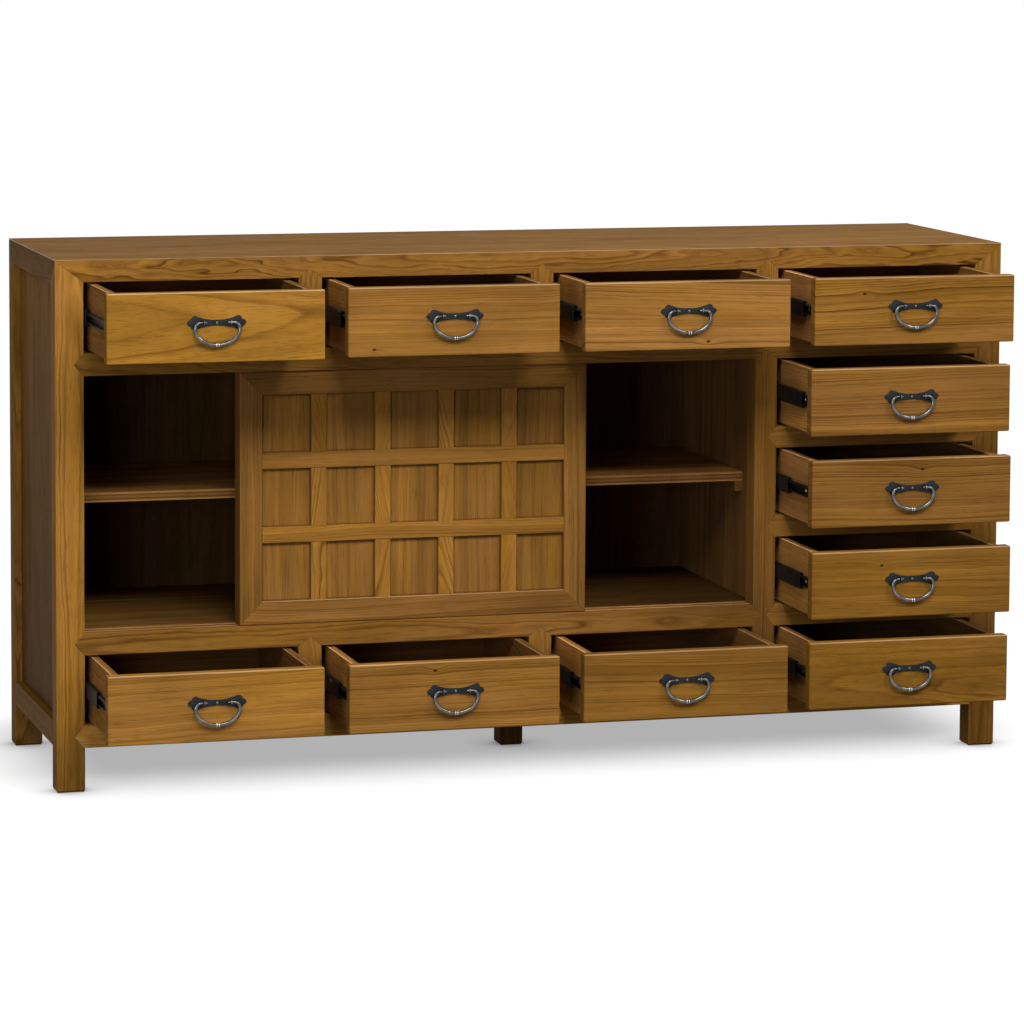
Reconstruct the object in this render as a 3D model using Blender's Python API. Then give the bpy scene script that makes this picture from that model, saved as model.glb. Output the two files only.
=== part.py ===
# Tansu sideboard in oiled elm: a mitred face frame over four posts, eleven drawers on
# ball-bearing slides with bail handles, and two lattice sliding doors.
# Lengths are metres. Case coordinates run from the front left foot corner:
# x to the right, y to the back, z up. The empty case_frame carries them.
import math

import bmesh
import bpy
from mathutils import Vector

# Clearance between pieces that touch, laps of shapes that are one piece, cutter overrun
SEAT_GAP = 0.0003
RUNNING_GAP = 0.0004
FUSE_LAP = 0.001
OVERRUN = 0.004

# Case: widths across the front, heights up it, depths into it
CASE_DEPTH = 0.455
LEG_HEIGHT = 0.074
RAIL_HEIGHT = 0.038
OPENING_WIDTH = 0.365
OPENING_HEIGHT = 0.118
POST_WIDTH = 0.048
MUNTIN_WIDTH = 0.040
POST_DEPTH = 0.040
RAIL_DEPTH = 0.046
MUNTIN_DEPTH = 0.040
LEG_EASE = 0.003
BAYS = 4
DRAWER_ROWS = 5
DOOR_BAYS = 3

# Face-frame joints: the pointed shoulder and the tenon behind it
SHOULDER_DEPTH = 0.012
POINT_DEPTH_SHARE = 0.44
TENON_LENGTH = 0.012
TENON_THICKNESS = 0.010
TENON_INSET = 0.008

# Top, sides, back and inner boards
TOP_THICKNESS = 0.020
TOP_EASE = 0.0015
TOP_EASE_STEPS = 3
SIDE_RAIL_HEIGHT = 0.042
SIDE_RAIL_THICKNESS = 0.024
SIDE_PANEL_RECESS = 0.013
SIDE_PANEL_THICKNESS = 0.012
BACK_RAIL_THICKNESS = 0.024
BACK_PANEL_THICKNESS = 0.010
BACK_PANEL_INSET = 0.004
PARTITION_THICKNESS = 0.020
BOARD_THICKNESS = 0.012
FLOOR_STEP = 0.0015
BASE_BOARD_RISE = 0.012
SHELF_HEIGHT = 0.490
SHELF_THICKNESS = 0.016
SHELF_SETBACK = 0.090
SHELF_CLEAT_WIDTH = 0.014
SHELF_CLEAT_HEIGHT = 0.018
FOOT_WIDTH = 0.041
FOOT_DEPTH = 0.041
FOOT_OFFSET = 0.009

# Drawer slides: a fixed channel, a telescoping channel and a bar on the drawer
SLIDE_SPACE = 0.0127
SLIDE_FRONT_SETBACK = 0.023
SLIDE_BACK_CLEARANCE = 0.010
SLIDE_METAL = 0.0015
CHANNEL_HEIGHT = 0.036
CHANNEL_DEPTH = 0.0087
MIDDLE_HEIGHT = 0.028
MIDDLE_DEPTH = 0.0080
BAR_HEIGHT = 0.018
RUNNER_HEIGHT = 0.050
RUNNER_PROUD = 0.0008
TRAVEL_RESERVE = 0.040
SLIDE_ENGAGED = 0.030

# Drawers
FRONT_THICKNESS = 0.020
FRONT_REVEAL = 0.0015
FRONT_EASE = 0.0020
FRONT_EASE_STEPS = 3
FRONT_CORNER_EASE = 0.0025
BOX_DEPTH = 0.400
BOX_DROP = 0.002
BOX_WALL = 0.012
BOX_FLOOR = 0.006
BOX_FLOOR_RISE = 0.008
FRONT_BITE = 0.002

# Name, bay counted from the left, row counted from the bottom, share of the travel
# that the drawer stands open, share of that opening that the middle channel reaches out
DRAWER_SHARES = (
    ("top_left", 0, 4, 0.542, 0.03),
    ("top_middle", 1, 4, 0.494, 0.67),
    ("top_right", 2, 4, 0.503, 0.60),
    ("column_1", 3, 4, 0.506, 0.65),
    ("column_2", 3, 3, 0.472, 0.69),
    ("column_3", 3, 2, 0.497, 0.29),
    ("column_4", 3, 1, 0.511, 0.64),
    ("column_5", 3, 0, 0.492, 0.55),
    ("bottom_left", 0, 0, 0.542, 0.47),
    ("bottom_middle", 1, 0, 0.531, 0.55),
    ("bottom_right", 2, 0, 0.525, 0.55),
)

# Handle: back plate, eyes and bail
HANDLE_RISE = 0.0085
PLATE_WIDTH = 0.098
PLATE_HEIGHT = 0.022
PLATE_THICKNESS = 0.002
EYE_SPACING = 0.0448
EYE_STANDOFF = 0.0072
EYE_HOLE_RADIUS = 0.0020
EYE_WIRE_RADIUS = 0.0012
EYE_STEM_RADIUS = 0.0021
EYE_WIRE_SIDES = 6
EYE_RING_STEPS = 12
STUD_RADIUS = 0.0026
STUD_HEIGHT = 0.0016
STUD_DROP = 0.0010
BAIL_PIN_CLEARANCE = 0.0004
BAIL_PIN_REACH = 0.0050
BAIL_ROD_RADIUS = 0.0027
BAIL_WIDTH = 0.080
BAIL_DROP = 0.040
BAIL_SHOULDER = 0.0105
BAIL_SIDES = 8
BAIL_SHOULDER_STEPS = 5
BAIL_BOW_STEPS = 10

# Right half of the plate, from the waist over the raised tip and the scalloped lobe
# back to the waist: shares of half the width and of the height. True marks a crisp
# corner; the outline runs smoothly through the others.
PLATE_SHARES = (
    (0.00, 0.18, False),
    (0.22, 0.19, False),
    (0.46, 0.28, False),
    (0.70, 0.47, False),
    (0.77, 0.48, True),
    (0.84, 0.36, False),
    (0.86, 0.22, True),
    (0.94, 0.15, False),
    (1.00, 0.00, True),
    (0.96, -0.18, False),
    (0.88, -0.28, True),
    (0.84, -0.46, False),
    (0.70, -0.52, True),
    (0.52, -0.38, False),
    (0.30, -0.28, False),
    (0.00, -0.22, False),
)
PLATE_CURVE_STEPS = 2

# Sliding doors
DOOR_LIP = 0.005
DOOR_THICKNESS = 0.017
DOOR_SPACING = 0.003
DOOR_OVERLAP = 0.038
DOOR_REVEAL = 0.001
DOOR_FRAME_WIDTH = 0.039
LATTICE_WIDTH = 0.027
LATTICE_COLUMNS = 5
LATTICE_ROWS = 3
PANEL_RECESS = 0.007
PANEL_BACK_RECESS = 0.005
TONGUE_THICKNESS = 0.008
TONGUE_CLEARANCE = 0.0005
LOWER_GROOVE_DEPTH = 0.005
UPPER_GROOVE_DEPTH = 0.009
UPPER_TONGUE_REACH = 0.007
FRONT_DOOR_OPEN_SHARE = 0.466
REAR_DOOR_OPEN_SHARE = 0.466

# Worked out from the sizes above
CASE_WIDTH = 2 * POST_WIDTH + BAYS * OPENING_WIDTH + (BAYS - 1) * MUNTIN_WIDTH
CASE_HEIGHT = LEG_HEIGHT + DRAWER_ROWS * (OPENING_HEIGHT + RAIL_HEIGHT) + RAIL_HEIGHT
ROW_PITCH = OPENING_HEIGHT + RAIL_HEIGHT
BAY_PITCH = OPENING_WIDTH + MUNTIN_WIDTH
POINT_DEPTH = POINT_DEPTH_SHARE * RAIL_HEIGHT
SIDE_INNER = SIDE_PANEL_RECESS + SIDE_PANEL_THICKNESS
BACK_PANEL_FACE = CASE_DEPTH - BACK_PANEL_INSET - BACK_PANEL_THICKNESS
BACK_RAIL_FACE = CASE_DEPTH - BACK_RAIL_THICKNESS
SLIDE_BACK = BACK_PANEL_FACE - SLIDE_BACK_CLEARANCE
MUNTIN_MID = MUNTIN_WIDTH / 2
DRAWER_TRAVEL = BOX_DEPTH - TRAVEL_RESERVE
MIDDLE_SETBACK = SEAT_GAP + SLIDE_METAL + RUNNING_GAP


def opening_left(bay):
    return POST_WIDTH + bay * BAY_PITCH


def opening_bottom(row):
    return LEG_HEIGHT + RAIL_HEIGHT + row * ROW_PITCH


def opening_middle(row):
    return opening_bottom(row) + OPENING_HEIGHT / 2


STILE_LEFT = opening_left(DOOR_BAYS) - MUNTIN_WIDTH
STILE_RIGHT = opening_left(DOOR_BAYS)
PARTITION_LEFT = STILE_LEFT + MUNTIN_MID - PARTITION_THICKNESS / 2
PARTITION_RIGHT = PARTITION_LEFT + PARTITION_THICKNESS
LOWER_RAIL_TOP = opening_bottom(1)
LOWER_RAIL_BOTTOM = LOWER_RAIL_TOP - RAIL_HEIGHT
UPPER_RAIL_TOP = opening_bottom(DRAWER_ROWS - 1)
UPPER_RAIL_BOTTOM = UPPER_RAIL_TOP - RAIL_HEIGHT
TOP_RAIL_BOTTOM = CASE_HEIGHT - RAIL_HEIGHT
MITRE_TOP = CASE_HEIGHT - TOP_EASE
BOTTOM_RAIL_TOP = LEG_HEIGHT + RAIL_HEIGHT


def clear_scene():
    for found in list(bpy.data.objects):
        bpy.data.objects.remove(found)


def make_material(name, colour, roughness, metallic):
    material = bpy.data.materials.new(name)
    material.use_nodes = True
    shader = material.node_tree.nodes["Principled BSDF"]
    shader.inputs["Base Color"].default_value = (*colour, 1)
    shader.inputs["Roughness"].default_value = roughness
    shader.inputs["Metallic"].default_value = metallic
    return material


# Shapes


def block(low, high):
    """A box between two corners."""
    shape = bmesh.new()
    bmesh.ops.create_cube(shape, size=1)
    for vertex in shape.verts:
        for axis in range(3):
            vertex.co[axis] = high[axis] if vertex.co[axis] > 0 else low[axis]
    return shape


def prism(outline, axis, start, end):
    """An outline in the plane across the axis (0 x, 1 y, 2 z), extruded along it."""
    across = [other for other in range(3) if other != axis]
    shape = bmesh.new()
    corners = []
    for first, second in outline:
        place = Vector()
        place[across[0]] = first
        place[across[1]] = second
        place[axis] = start
        corners.append(shape.verts.new(place))
    face = shape.faces.new(corners)
    grown = bmesh.ops.extrude_face_region(shape, geom=[face])
    for item in grown["geom"]:
        if isinstance(item, bmesh.types.BMVert):
            item.co[axis] = end
    bmesh.ops.recalc_face_normals(shape, faces=shape.faces[:])
    return shape


def trim(shape, point, normal, gap=0):
    """Cuts away what lies past a plane, on its normal's side, and closes the cut."""
    normal = Vector(normal).normalized()
    everything = shape.verts[:] + shape.edges[:] + shape.faces[:]
    cut = bmesh.ops.bisect_plane(
        shape,
        geom=everything,
        plane_co=Vector(point) - gap * normal,
        plane_no=normal,
        clear_outer=True,
    )
    rim = [item for item in cut["geom_cut"] if isinstance(item, bmesh.types.BMEdge)]
    if rim:
        bmesh.ops.contextual_create(shape, geom=rim)
    bmesh.ops.remove_doubles(shape, verts=shape.verts[:], dist=SEAT_GAP / 3)
    bmesh.ops.recalc_face_normals(shape, faces=shape.faces[:])
    return shape


def ease(shape, wanted, width, steps):
    """Rounds the edges that the test picks."""
    picked = [edge for edge in shape.edges if wanted(edge)]
    bmesh.ops.bevel(
        shape, geom=picked, offset=width, segments=steps, profile=0.5, affect="EDGES"
    )
    return shape


def lies_on(edge, axis, value):
    return all(abs(vertex.co[axis] - value) < SEAT_GAP / 2 for vertex in edge.verts)


def turned(radius, axis, start, end, sides, centre):
    """A round bar along an axis, about a centre in the plane across it."""
    outline = []
    for step in range(sides):
        angle = 2 * math.pi * (step + 0.5) / sides
        outline.append(
            (centre[0] + radius * math.cos(angle), centre[1] + radius * math.sin(angle))
        )
    return prism(outline, axis, start, end)


def swept_rod(path, radii, sides):
    """A round rod along a path in the plane y = 0, with a radius at each point."""
    shape = bmesh.new()
    rings = []
    for index, point in enumerate(path):
        before = path[max(index - 1, 0)]
        after = path[min(index + 1, len(path) - 1)]
        along = (after - before).normalized()
        aside = Vector((-along.z, 0, along.x))
        ring = []
        for step in range(sides):
            angle = 2 * math.pi * (step + 0.5) / sides
            out = math.cos(angle) * aside + math.sin(angle) * Vector((0, 1, 0))
            ring.append(shape.verts.new(point + radii[index] * out))
        rings.append(ring)
    for ring, following in zip(rings, rings[1:]):
        for step in range(sides):
            after = (step + 1) % sides
            shape.faces.new(
                (ring[step], ring[after], following[after], following[step])
            )
    shape.faces.new(rings[0])
    shape.faces.new(rings[-1])
    bmesh.ops.recalc_face_normals(shape, faces=shape.faces[:])
    return shape


def object_from(shape, name):
    mesh = bpy.data.meshes.new(name)
    shape.to_mesh(mesh)
    shape.free()
    made = bpy.data.objects.new(name, mesh)
    bpy.context.scene.collection.objects.link(made)
    return made


def combine(base, tools, operation):
    """Joins shapes to a base, or cuts them from it, with exact Booleans, one at a time."""
    target = object_from(base, "base_shape")
    for tool in tools:
        helper = object_from(tool, "tool_shape")
        modifier = target.modifiers.new("step", "BOOLEAN")
        modifier.operation = operation
        modifier.solver = "EXACT"
        modifier.object = helper
        graph = bpy.context.evaluated_depsgraph_get()
        result = bpy.data.meshes.new_from_object(target.evaluated_get(graph))
        target.modifiers.clear()
        target.data = result
        bpy.data.objects.remove(helper)
    shape = bmesh.new()
    shape.from_mesh(target.data)
    bpy.data.objects.remove(target)
    return shape


def joined(base, *tools):
    return combine(base, tools, "UNION")


def cut(base, *tools):
    return combine(base, tools, "DIFFERENCE")


def piece(name, shape, material, parent, location=(0, 0, 0), smooth=False):
    """Turns a shape into a named object of its own, carried by its parent."""
    made = object_from(shape, name)
    made.data.materials.append(material)
    made.parent = parent
    made.location = location
    if smooth:
        made.data.shade_smooth()
        made.data.set_sharp_from_angle(angle=math.radians(35))
    return made


# Face-frame members and the recesses they fit


class Member:
    """A rail (along x) or a stile (along z) of the face frame, with pointed shoulders.

    start and end are the edges of the members it meets; low and high are its own edges.
    """

    def __init__(self, along, start, end, low, high):
        self.along = along
        self.depth = RAIL_DEPTH if along == "x" else MUNTIN_DEPTH
        self.start = start
        self.end = end
        self.low = low
        self.high = high
        self.middle = (low + high) / 2

    def place(self, along, across):
        return (along, across) if self.along == "x" else (across, along)

    def box(self, along, across, deep):
        first = self.place(along[0], across[0])
        last = self.place(along[1], across[1])
        return block((first[0], deep[0], first[1]), (last[0], deep[1], last[1]))

    def tenon_span(self, edge, outward, spare):
        ends = (edge - outward * FUSE_LAP, edge + outward * (TENON_LENGTH + spare))
        across = (self.low + TENON_INSET - spare, self.high - TENON_INSET + spare)
        middle = (SHOULDER_DEPTH + MUNTIN_DEPTH) / 2
        half = TENON_THICKNESS / 2 + spare
        return (min(ends), max(ends)), across, (middle - half, middle + half)

    def solid(self):
        half = (self.high - self.low) / 2
        back_off = SEAT_GAP * math.hypot(POINT_DEPTH, half) / half
        start = self.start + back_off
        end = self.end - back_off
        outline = [
            self.place(start, self.low),
            self.place(start - POINT_DEPTH, self.middle),
            self.place(start, self.high),
            self.place(end, self.high),
            self.place(end + POINT_DEPTH, self.middle),
            self.place(end, self.low),
        ]
        body = self.box(
            (self.start + SEAT_GAP, self.end - SEAT_GAP),
            (self.low, self.high),
            (0, self.depth),
        )
        return joined(
            body,
            prism(outline, 1, 0, SHOULDER_DEPTH - SEAT_GAP),
            self.box(*self.tenon_span(self.start, -1, 0)),
            self.box(*self.tenon_span(self.end, 1, 0)),
        )

    def recesses(self, at_end):
        """The notch for the point and the mortise for the tenon, cut in the mate."""
        outward = 1 if at_end else -1
        edge = self.end if at_end else self.start
        mouth = edge - outward * OVERRUN
        outline = [
            self.place(mouth, self.low),
            self.place(edge, self.low),
            self.place(edge + outward * POINT_DEPTH, self.middle),
            self.place(edge, self.high),
            self.place(mouth, self.high),
        ]
        notch = prism(outline, 1, -OVERRUN, SHOULDER_DEPTH)
        along, across, deep = self.tenon_span(edge, outward, SEAT_GAP)
        ends = (min(mouth, along[0]), max(mouth, along[1]))
        return [notch, self.box(ends, across, deep)]


LEFT_EDGE = POST_WIDTH
RIGHT_EDGE = CASE_WIDTH - POST_WIDTH
upper_rail = Member("x", LEFT_EDGE, RIGHT_EDGE, UPPER_RAIL_BOTTOM, UPPER_RAIL_TOP)
lower_rail = Member("x", LEFT_EDGE, STILE_LEFT, LOWER_RAIL_BOTTOM, LOWER_RAIL_TOP)
bottom_rail = Member("x", LEFT_EDGE, RIGHT_EDGE, LEG_HEIGHT, BOTTOM_RAIL_TOP)
main_stile = Member("z", BOTTOM_RAIL_TOP, UPPER_RAIL_BOTTOM, STILE_LEFT, STILE_RIGHT)
column_rails = []
for rail_row in range(1, DRAWER_ROWS - 1):
    rail_top = opening_bottom(rail_row)
    column_rails.append(
        Member("x", STILE_RIGHT, RIGHT_EDGE, rail_top - RAIL_HEIGHT, rail_top)
    )
top_muntins = []
for muntin_bay in range(1, BAYS):
    muntin_right = opening_left(muntin_bay)
    top_muntins.append(
        Member(
            "z",
            UPPER_RAIL_TOP,
            TOP_RAIL_BOTTOM,
            muntin_right - MUNTIN_WIDTH,
            muntin_right,
        )
    )
bottom_muntins = []
for muntin_bay in range(1, DOOR_BAYS):
    muntin_right = opening_left(muntin_bay)
    bottom_muntins.append(
        Member(
            "z",
            BOTTOM_RAIL_TOP,
            LOWER_RAIL_BOTTOM,
            muntin_right - MUNTIN_WIDTH,
            muntin_right,
        )
    )


# Three-way mitres at the top corners


class Corner:
    """One top corner of the case, left or right, front or back."""

    def __init__(self, right, back):
        self.inward_x = -1 if right else 1
        self.inward_y = -1 if back else 1
        self.tip = Vector(
            (CASE_WIDTH if right else 0, CASE_DEPTH if back else 0, MITRE_TOP)
        )
        across = self.inward_x * (RAIL_HEIGHT - TOP_EASE) / POST_WIDTH
        along = self.inward_y * (SIDE_RAIL_HEIGHT - TOP_EASE) / POST_DEPTH
        self.over_long_rail = Vector((across, 0, 1))
        self.over_side_rail = Vector((0, along, 1))
        self.towards_long_rail = Vector((across, -along, 0))

    def trim_post(self, shape):
        trim(shape, self.tip, self.over_long_rail, SEAT_GAP)
        return trim(shape, self.tip, self.over_side_rail, SEAT_GAP)

    def trim_long_rail(self, shape):
        trim(shape, self.tip, -self.over_long_rail)
        return trim(shape, self.tip, -self.towards_long_rail)

    def trim_side_rail(self, shape):
        trim(shape, self.tip, -self.over_side_rail)
        return trim(shape, self.tip, self.towards_long_rail, SEAT_GAP)


CORNERS = {
    (right, back): Corner(right, back) for right in (False, True) for back in (False, True)
}


def top_shape(grow):
    """The top board with its mitred underside; grow makes the room cut for it."""
    rise = OVERRUN if grow else 0
    low = CASE_HEIGHT - TOP_THICKNESS - grow
    shape = block((-rise, -rise, low), (CASE_WIDTH + rise, CASE_DEPTH + rise, CASE_HEIGHT + rise))
    if not grow:
        ease(shape, lambda edge: lies_on(edge, 2, CASE_HEIGHT), TOP_EASE, TOP_EASE_STEPS)
    for right, back in ((False, False), (True, True)):
        corner = CORNERS[right, back]
        trim(shape, corner.tip, -corner.over_long_rail, -grow)
        trim(shape, corner.tip, -corner.over_side_rail, -grow)
    return shape


# Slides: profiles run outwards from the carcass face that carries the channel


def channel_outline(face, toward, middle, setback, depth, height):
    """A C section opening towards the drawer."""
    root = face + toward * setback
    inner = root + toward * SLIDE_METAL
    lip = root + toward * depth
    top = middle + height / 2
    bottom = middle - height / 2
    return [
        (root, bottom),
        (lip, bottom),
        (lip, bottom + SLIDE_METAL),
        (inner, bottom + SLIDE_METAL),
        (inner, top - SLIDE_METAL),
        (lip, top - SLIDE_METAL),
        (lip, top),
        (root, top),
    ]


def case_channel(face, toward, middle):
    outline = channel_outline(
        face, toward, middle, SEAT_GAP, CHANNEL_DEPTH, CHANNEL_HEIGHT
    )
    return prism(outline, 1, SLIDE_FRONT_SETBACK, SLIDE_BACK)


def runner(left, right, middle, front, back):
    half = RUNNER_HEIGHT / 2
    return block((left, front, middle - half), (right, back, middle + half))


# Case pieces


def build_post(name, right, back, mates, material, frame):
    left = CASE_WIDTH - POST_WIDTH if right else 0
    front = CASE_DEPTH - POST_DEPTH if back else 0
    shape = block((left, front, 0), (left + POST_WIDTH, front + POST_DEPTH, MITRE_TOP))
    ease(shape, lambda edge: lies_on(edge, 2, 0), LEG_EASE, 1)
    CORNERS[right, back].trim_post(shape)
    tools = []
    for member, at_end in mates:
        tools += member.recesses(at_end)
    return piece(name, cut(shape, *tools), material, frame)


def build_top_rail(material, frame):
    shape = block((0, 0, TOP_RAIL_BOTTOM), (CASE_WIDTH, RAIL_DEPTH, MITRE_TOP))
    CORNERS[False, False].trim_long_rail(shape)
    CORNERS[True, False].trim_long_rail(shape)
    tools = [top_shape(SEAT_GAP)]
    for muntin in top_muntins:
        tools += muntin.recesses(True)
    return piece("rail_top_front", cut(shape, *tools), material, frame)


def door_front_face(rear):
    return DOOR_LIP + (DOOR_THICKNESS + DOOR_SPACING if rear else 0)


def groove(rear, bottom, top):
    middle = door_front_face(rear) + DOOR_THICKNESS / 2
    half = TONGUE_THICKNESS / 2 + TONGUE_CLEARANCE
    return block((LEFT_EDGE, middle - half, bottom), (STILE_LEFT, middle + half, top))


def build_member(name, member, mates, grooves, material, frame):
    tools = list(grooves)
    for mate, at_end in mates:
        tools += mate.recesses(at_end)
    return piece(name, cut(member.solid(), *tools), material, frame)


def build_divider(name, muntin, row, material, frame):
    """A muntin with the runner behind it and the two channels that it carries."""
    middle = opening_middle(row)
    shape = joined(
        muntin.solid(),
        runner(
            muntin.low - RUNNER_PROUD,
            muntin.high + RUNNER_PROUD,
            middle,
            MUNTIN_DEPTH - FUSE_LAP,
            BACK_PANEL_FACE - SEAT_GAP,
        ),
        case_channel(muntin.low, -1, middle),
        case_channel(muntin.high, 1, middle),
    )
    return piece(name, shape, material, frame)


def build_partition(material, frame):
    """The main stile, the partition behind it, its runners and its shelf cleat."""
    back = BACK_PANEL_FACE - SEAT_GAP
    front = MUNTIN_DEPTH - FUSE_LAP
    shelf_bottom = SHELF_HEIGHT - SHELF_THICKNESS - SEAT_GAP
    base_top = LEG_HEIGHT + BASE_BOARD_RISE + BOARD_THICKNESS
    board = block(
        (PARTITION_LEFT, front, BOTTOM_RAIL_TOP + SEAT_GAP),
        (PARTITION_RIGHT, back, UPPER_RAIL_BOTTOM - SEAT_GAP),
    )
    head = block(
        (PARTITION_LEFT, RAIL_DEPTH + SEAT_GAP, UPPER_RAIL_BOTTOM - FUSE_LAP),
        (PARTITION_RIGHT, back, UPPER_RAIL_TOP),
    )
    sill = block(
        (PARTITION_LEFT, RAIL_DEPTH + SEAT_GAP, base_top + SEAT_GAP),
        (PARTITION_RIGHT, BACK_RAIL_FACE - SEAT_GAP, BOTTOM_RAIL_TOP + FUSE_LAP),
    )
    cleat = block(
        (PARTITION_LEFT - SHELF_CLEAT_WIDTH, SHELF_SETBACK, shelf_bottom - SHELF_CLEAT_HEIGHT),
        (PARTITION_LEFT + FUSE_LAP, back, shelf_bottom),
    )
    adds = [board, head, sill, cleat]
    lowest = opening_middle(0)
    adds.append(
        runner(STILE_LEFT - RUNNER_PROUD, PARTITION_LEFT + FUSE_LAP, lowest, front, back)
    )
    adds.append(case_channel(STILE_LEFT, -1, lowest))
    for row in range(DRAWER_ROWS - 1):
        middle = opening_middle(row)
        adds.append(
            runner(
                PARTITION_RIGHT - FUSE_LAP, STILE_RIGHT + RUNNER_PROUD, middle, front, back
            )
        )
        adds.append(case_channel(STILE_RIGHT, 1, middle))
    shape = joined(main_stile.solid(), *adds)
    tools = lower_rail.recesses(True)
    for rail in column_rails:
        tools += rail.recesses(False)
    return piece("main_stile", cut(shape, *tools), material, frame)


def build_side(name, right, rows, has_shelf, material, frame):
    """Side rails, the recessed panel between them, and the runners inside."""
    inward = -1 if right else 1
    outer = CASE_WIDTH if right else 0

    def span(start, end, front, back, bottom, top):
        first = outer + inward * start
        last = outer + inward * end
        return block((min(first, last), front, bottom), (max(first, last), back, top))

    front = POST_DEPTH + SEAT_GAP
    back = CASE_DEPTH - POST_DEPTH - SEAT_GAP
    panel_top = CASE_HEIGHT - SIDE_RAIL_HEIGHT / 2 - TOP_THICKNESS / 2
    top_rail = span(
        0, SIDE_RAIL_THICKNESS, 0, CASE_DEPTH, CASE_HEIGHT - SIDE_RAIL_HEIGHT, MITRE_TOP
    )
    CORNERS[right, False].trim_side_rail(top_rail)
    CORNERS[right, True].trim_side_rail(top_rail)
    top_rail = cut(top_rail, top_shape(SEAT_GAP))
    adds = [
        span(SIDE_PANEL_RECESS, SIDE_INNER, front, back, LEG_HEIGHT + SIDE_RAIL_HEIGHT / 2, panel_top),
        span(0, SIDE_RAIL_THICKNESS, front, back, LEG_HEIGHT, LEG_HEIGHT + SIDE_RAIL_HEIGHT),
    ]
    face = outer + inward * POST_WIDTH
    half = RUNNER_HEIGHT / 2
    for row in rows:
        middle = opening_middle(row)
        adds.append(
            span(
                SIDE_INNER - FUSE_LAP,
                POST_WIDTH + RUNNER_PROUD,
                front,
                back,
                middle - half,
                middle + half,
            )
        )
        adds.append(case_channel(face, inward, middle))
    if has_shelf:
        shelf_bottom = SHELF_HEIGHT - SHELF_THICKNESS - SEAT_GAP
        adds.append(
            span(
                SIDE_INNER - FUSE_LAP,
                POST_WIDTH + SHELF_CLEAT_WIDTH,
                SHELF_SETBACK,
                back,
                shelf_bottom - SHELF_CLEAT_HEIGHT,
                shelf_bottom,
            )
        )
    return piece(name, joined(top_rail, *adds), material, frame)


def build_back(material, frame):
    """Back rails with the back board between them, mitred at the top like the front."""
    front = BACK_RAIL_FACE
    left = LEFT_EDGE + SEAT_GAP
    right = RIGHT_EDGE - SEAT_GAP
    top_rail = block((0, front, TOP_RAIL_BOTTOM), (CASE_WIDTH, CASE_DEPTH, MITRE_TOP))
    CORNERS[False, True].trim_long_rail(top_rail)
    CORNERS[True, True].trim_long_rail(top_rail)
    top_rail = cut(top_rail, top_shape(SEAT_GAP))
    board = block(
        (left, BACK_PANEL_FACE, BOTTOM_RAIL_TOP - RAIL_HEIGHT / 2),
        (right, BACK_PANEL_FACE + BACK_PANEL_THICKNESS, TOP_RAIL_BOTTOM + FUSE_LAP),
    )
    low_rail = block((left, front, LEG_HEIGHT), (right, CASE_DEPTH, BOTTOM_RAIL_TOP))
    return piece("back_panel", joined(top_rail, board, low_rail), material, frame)


def board_shape(bottom, top, front, back, right_edge, ears):
    """An inner board that passes between the posts, with ears out to the side panels."""
    left_edge = LEFT_EDGE + SEAT_GAP
    ear_back = CASE_DEPTH - POST_DEPTH - SEAT_GAP
    shape = block((left_edge, front, bottom), (right_edge, back, top))
    adds = [
        block(
            (SIDE_INNER + SEAT_GAP, front, bottom),
            (left_edge + FUSE_LAP, min(back, ear_back), top),
        )
    ]
    if ears == 2:
        adds.append(
            block(
                (right_edge - FUSE_LAP, front, bottom),
                (CASE_WIDTH - SIDE_INNER - SEAT_GAP, min(back, ear_back), top),
            )
        )
    return joined(shape, *adds)


def build_base(material, frame):
    """The board under the lowest drawers with the short foot at its centre."""
    bottom = LEG_HEIGHT + BASE_BOARD_RISE
    board = board_shape(
        bottom,
        bottom + BOARD_THICKNESS,
        RAIL_DEPTH + SEAT_GAP,
        BACK_RAIL_FACE - SEAT_GAP,
        RIGHT_EDGE - SEAT_GAP,
        2,
    )
    middle = CASE_WIDTH / 2 + FOOT_OFFSET
    half_width = FOOT_WIDTH / 2
    half_depth = FOOT_DEPTH / 2
    foot = block(
        (middle - half_width, CASE_DEPTH / 2 - half_depth, 0),
        (middle + half_width, CASE_DEPTH / 2 + half_depth, bottom + FUSE_LAP),
    )
    ease(foot, lambda edge: lies_on(edge, 2, 0), LEG_EASE, 1)
    return piece("base_board", joined(board, foot), material, frame)


def build_inner_boards(material, frame):
    front = RAIL_DEPTH + SEAT_GAP
    back = BACK_PANEL_FACE - SEAT_GAP
    right = PARTITION_LEFT - SEAT_GAP
    floor_top = LOWER_RAIL_TOP + FLOOR_STEP
    ceiling_bottom = (UPPER_RAIL_BOTTOM + UPPER_RAIL_TOP - BOARD_THICKNESS) / 2
    boards = (
        ("compartment_floor", floor_top - BOARD_THICKNESS, floor_top, front),
        ("compartment_ceiling", ceiling_bottom, ceiling_bottom + BOARD_THICKNESS, front),
        ("shelf", SHELF_HEIGHT - SHELF_THICKNESS, SHELF_HEIGHT, SHELF_SETBACK),
    )
    for name, bottom, top, board_front in boards:
        shape = board_shape(bottom, top, board_front, back, right, 1)
        piece(name, shape, material, frame)


# Drawers, in drawer coordinates: x from the middle, y back from the front's face,
# z from the middle of the opening


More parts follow.
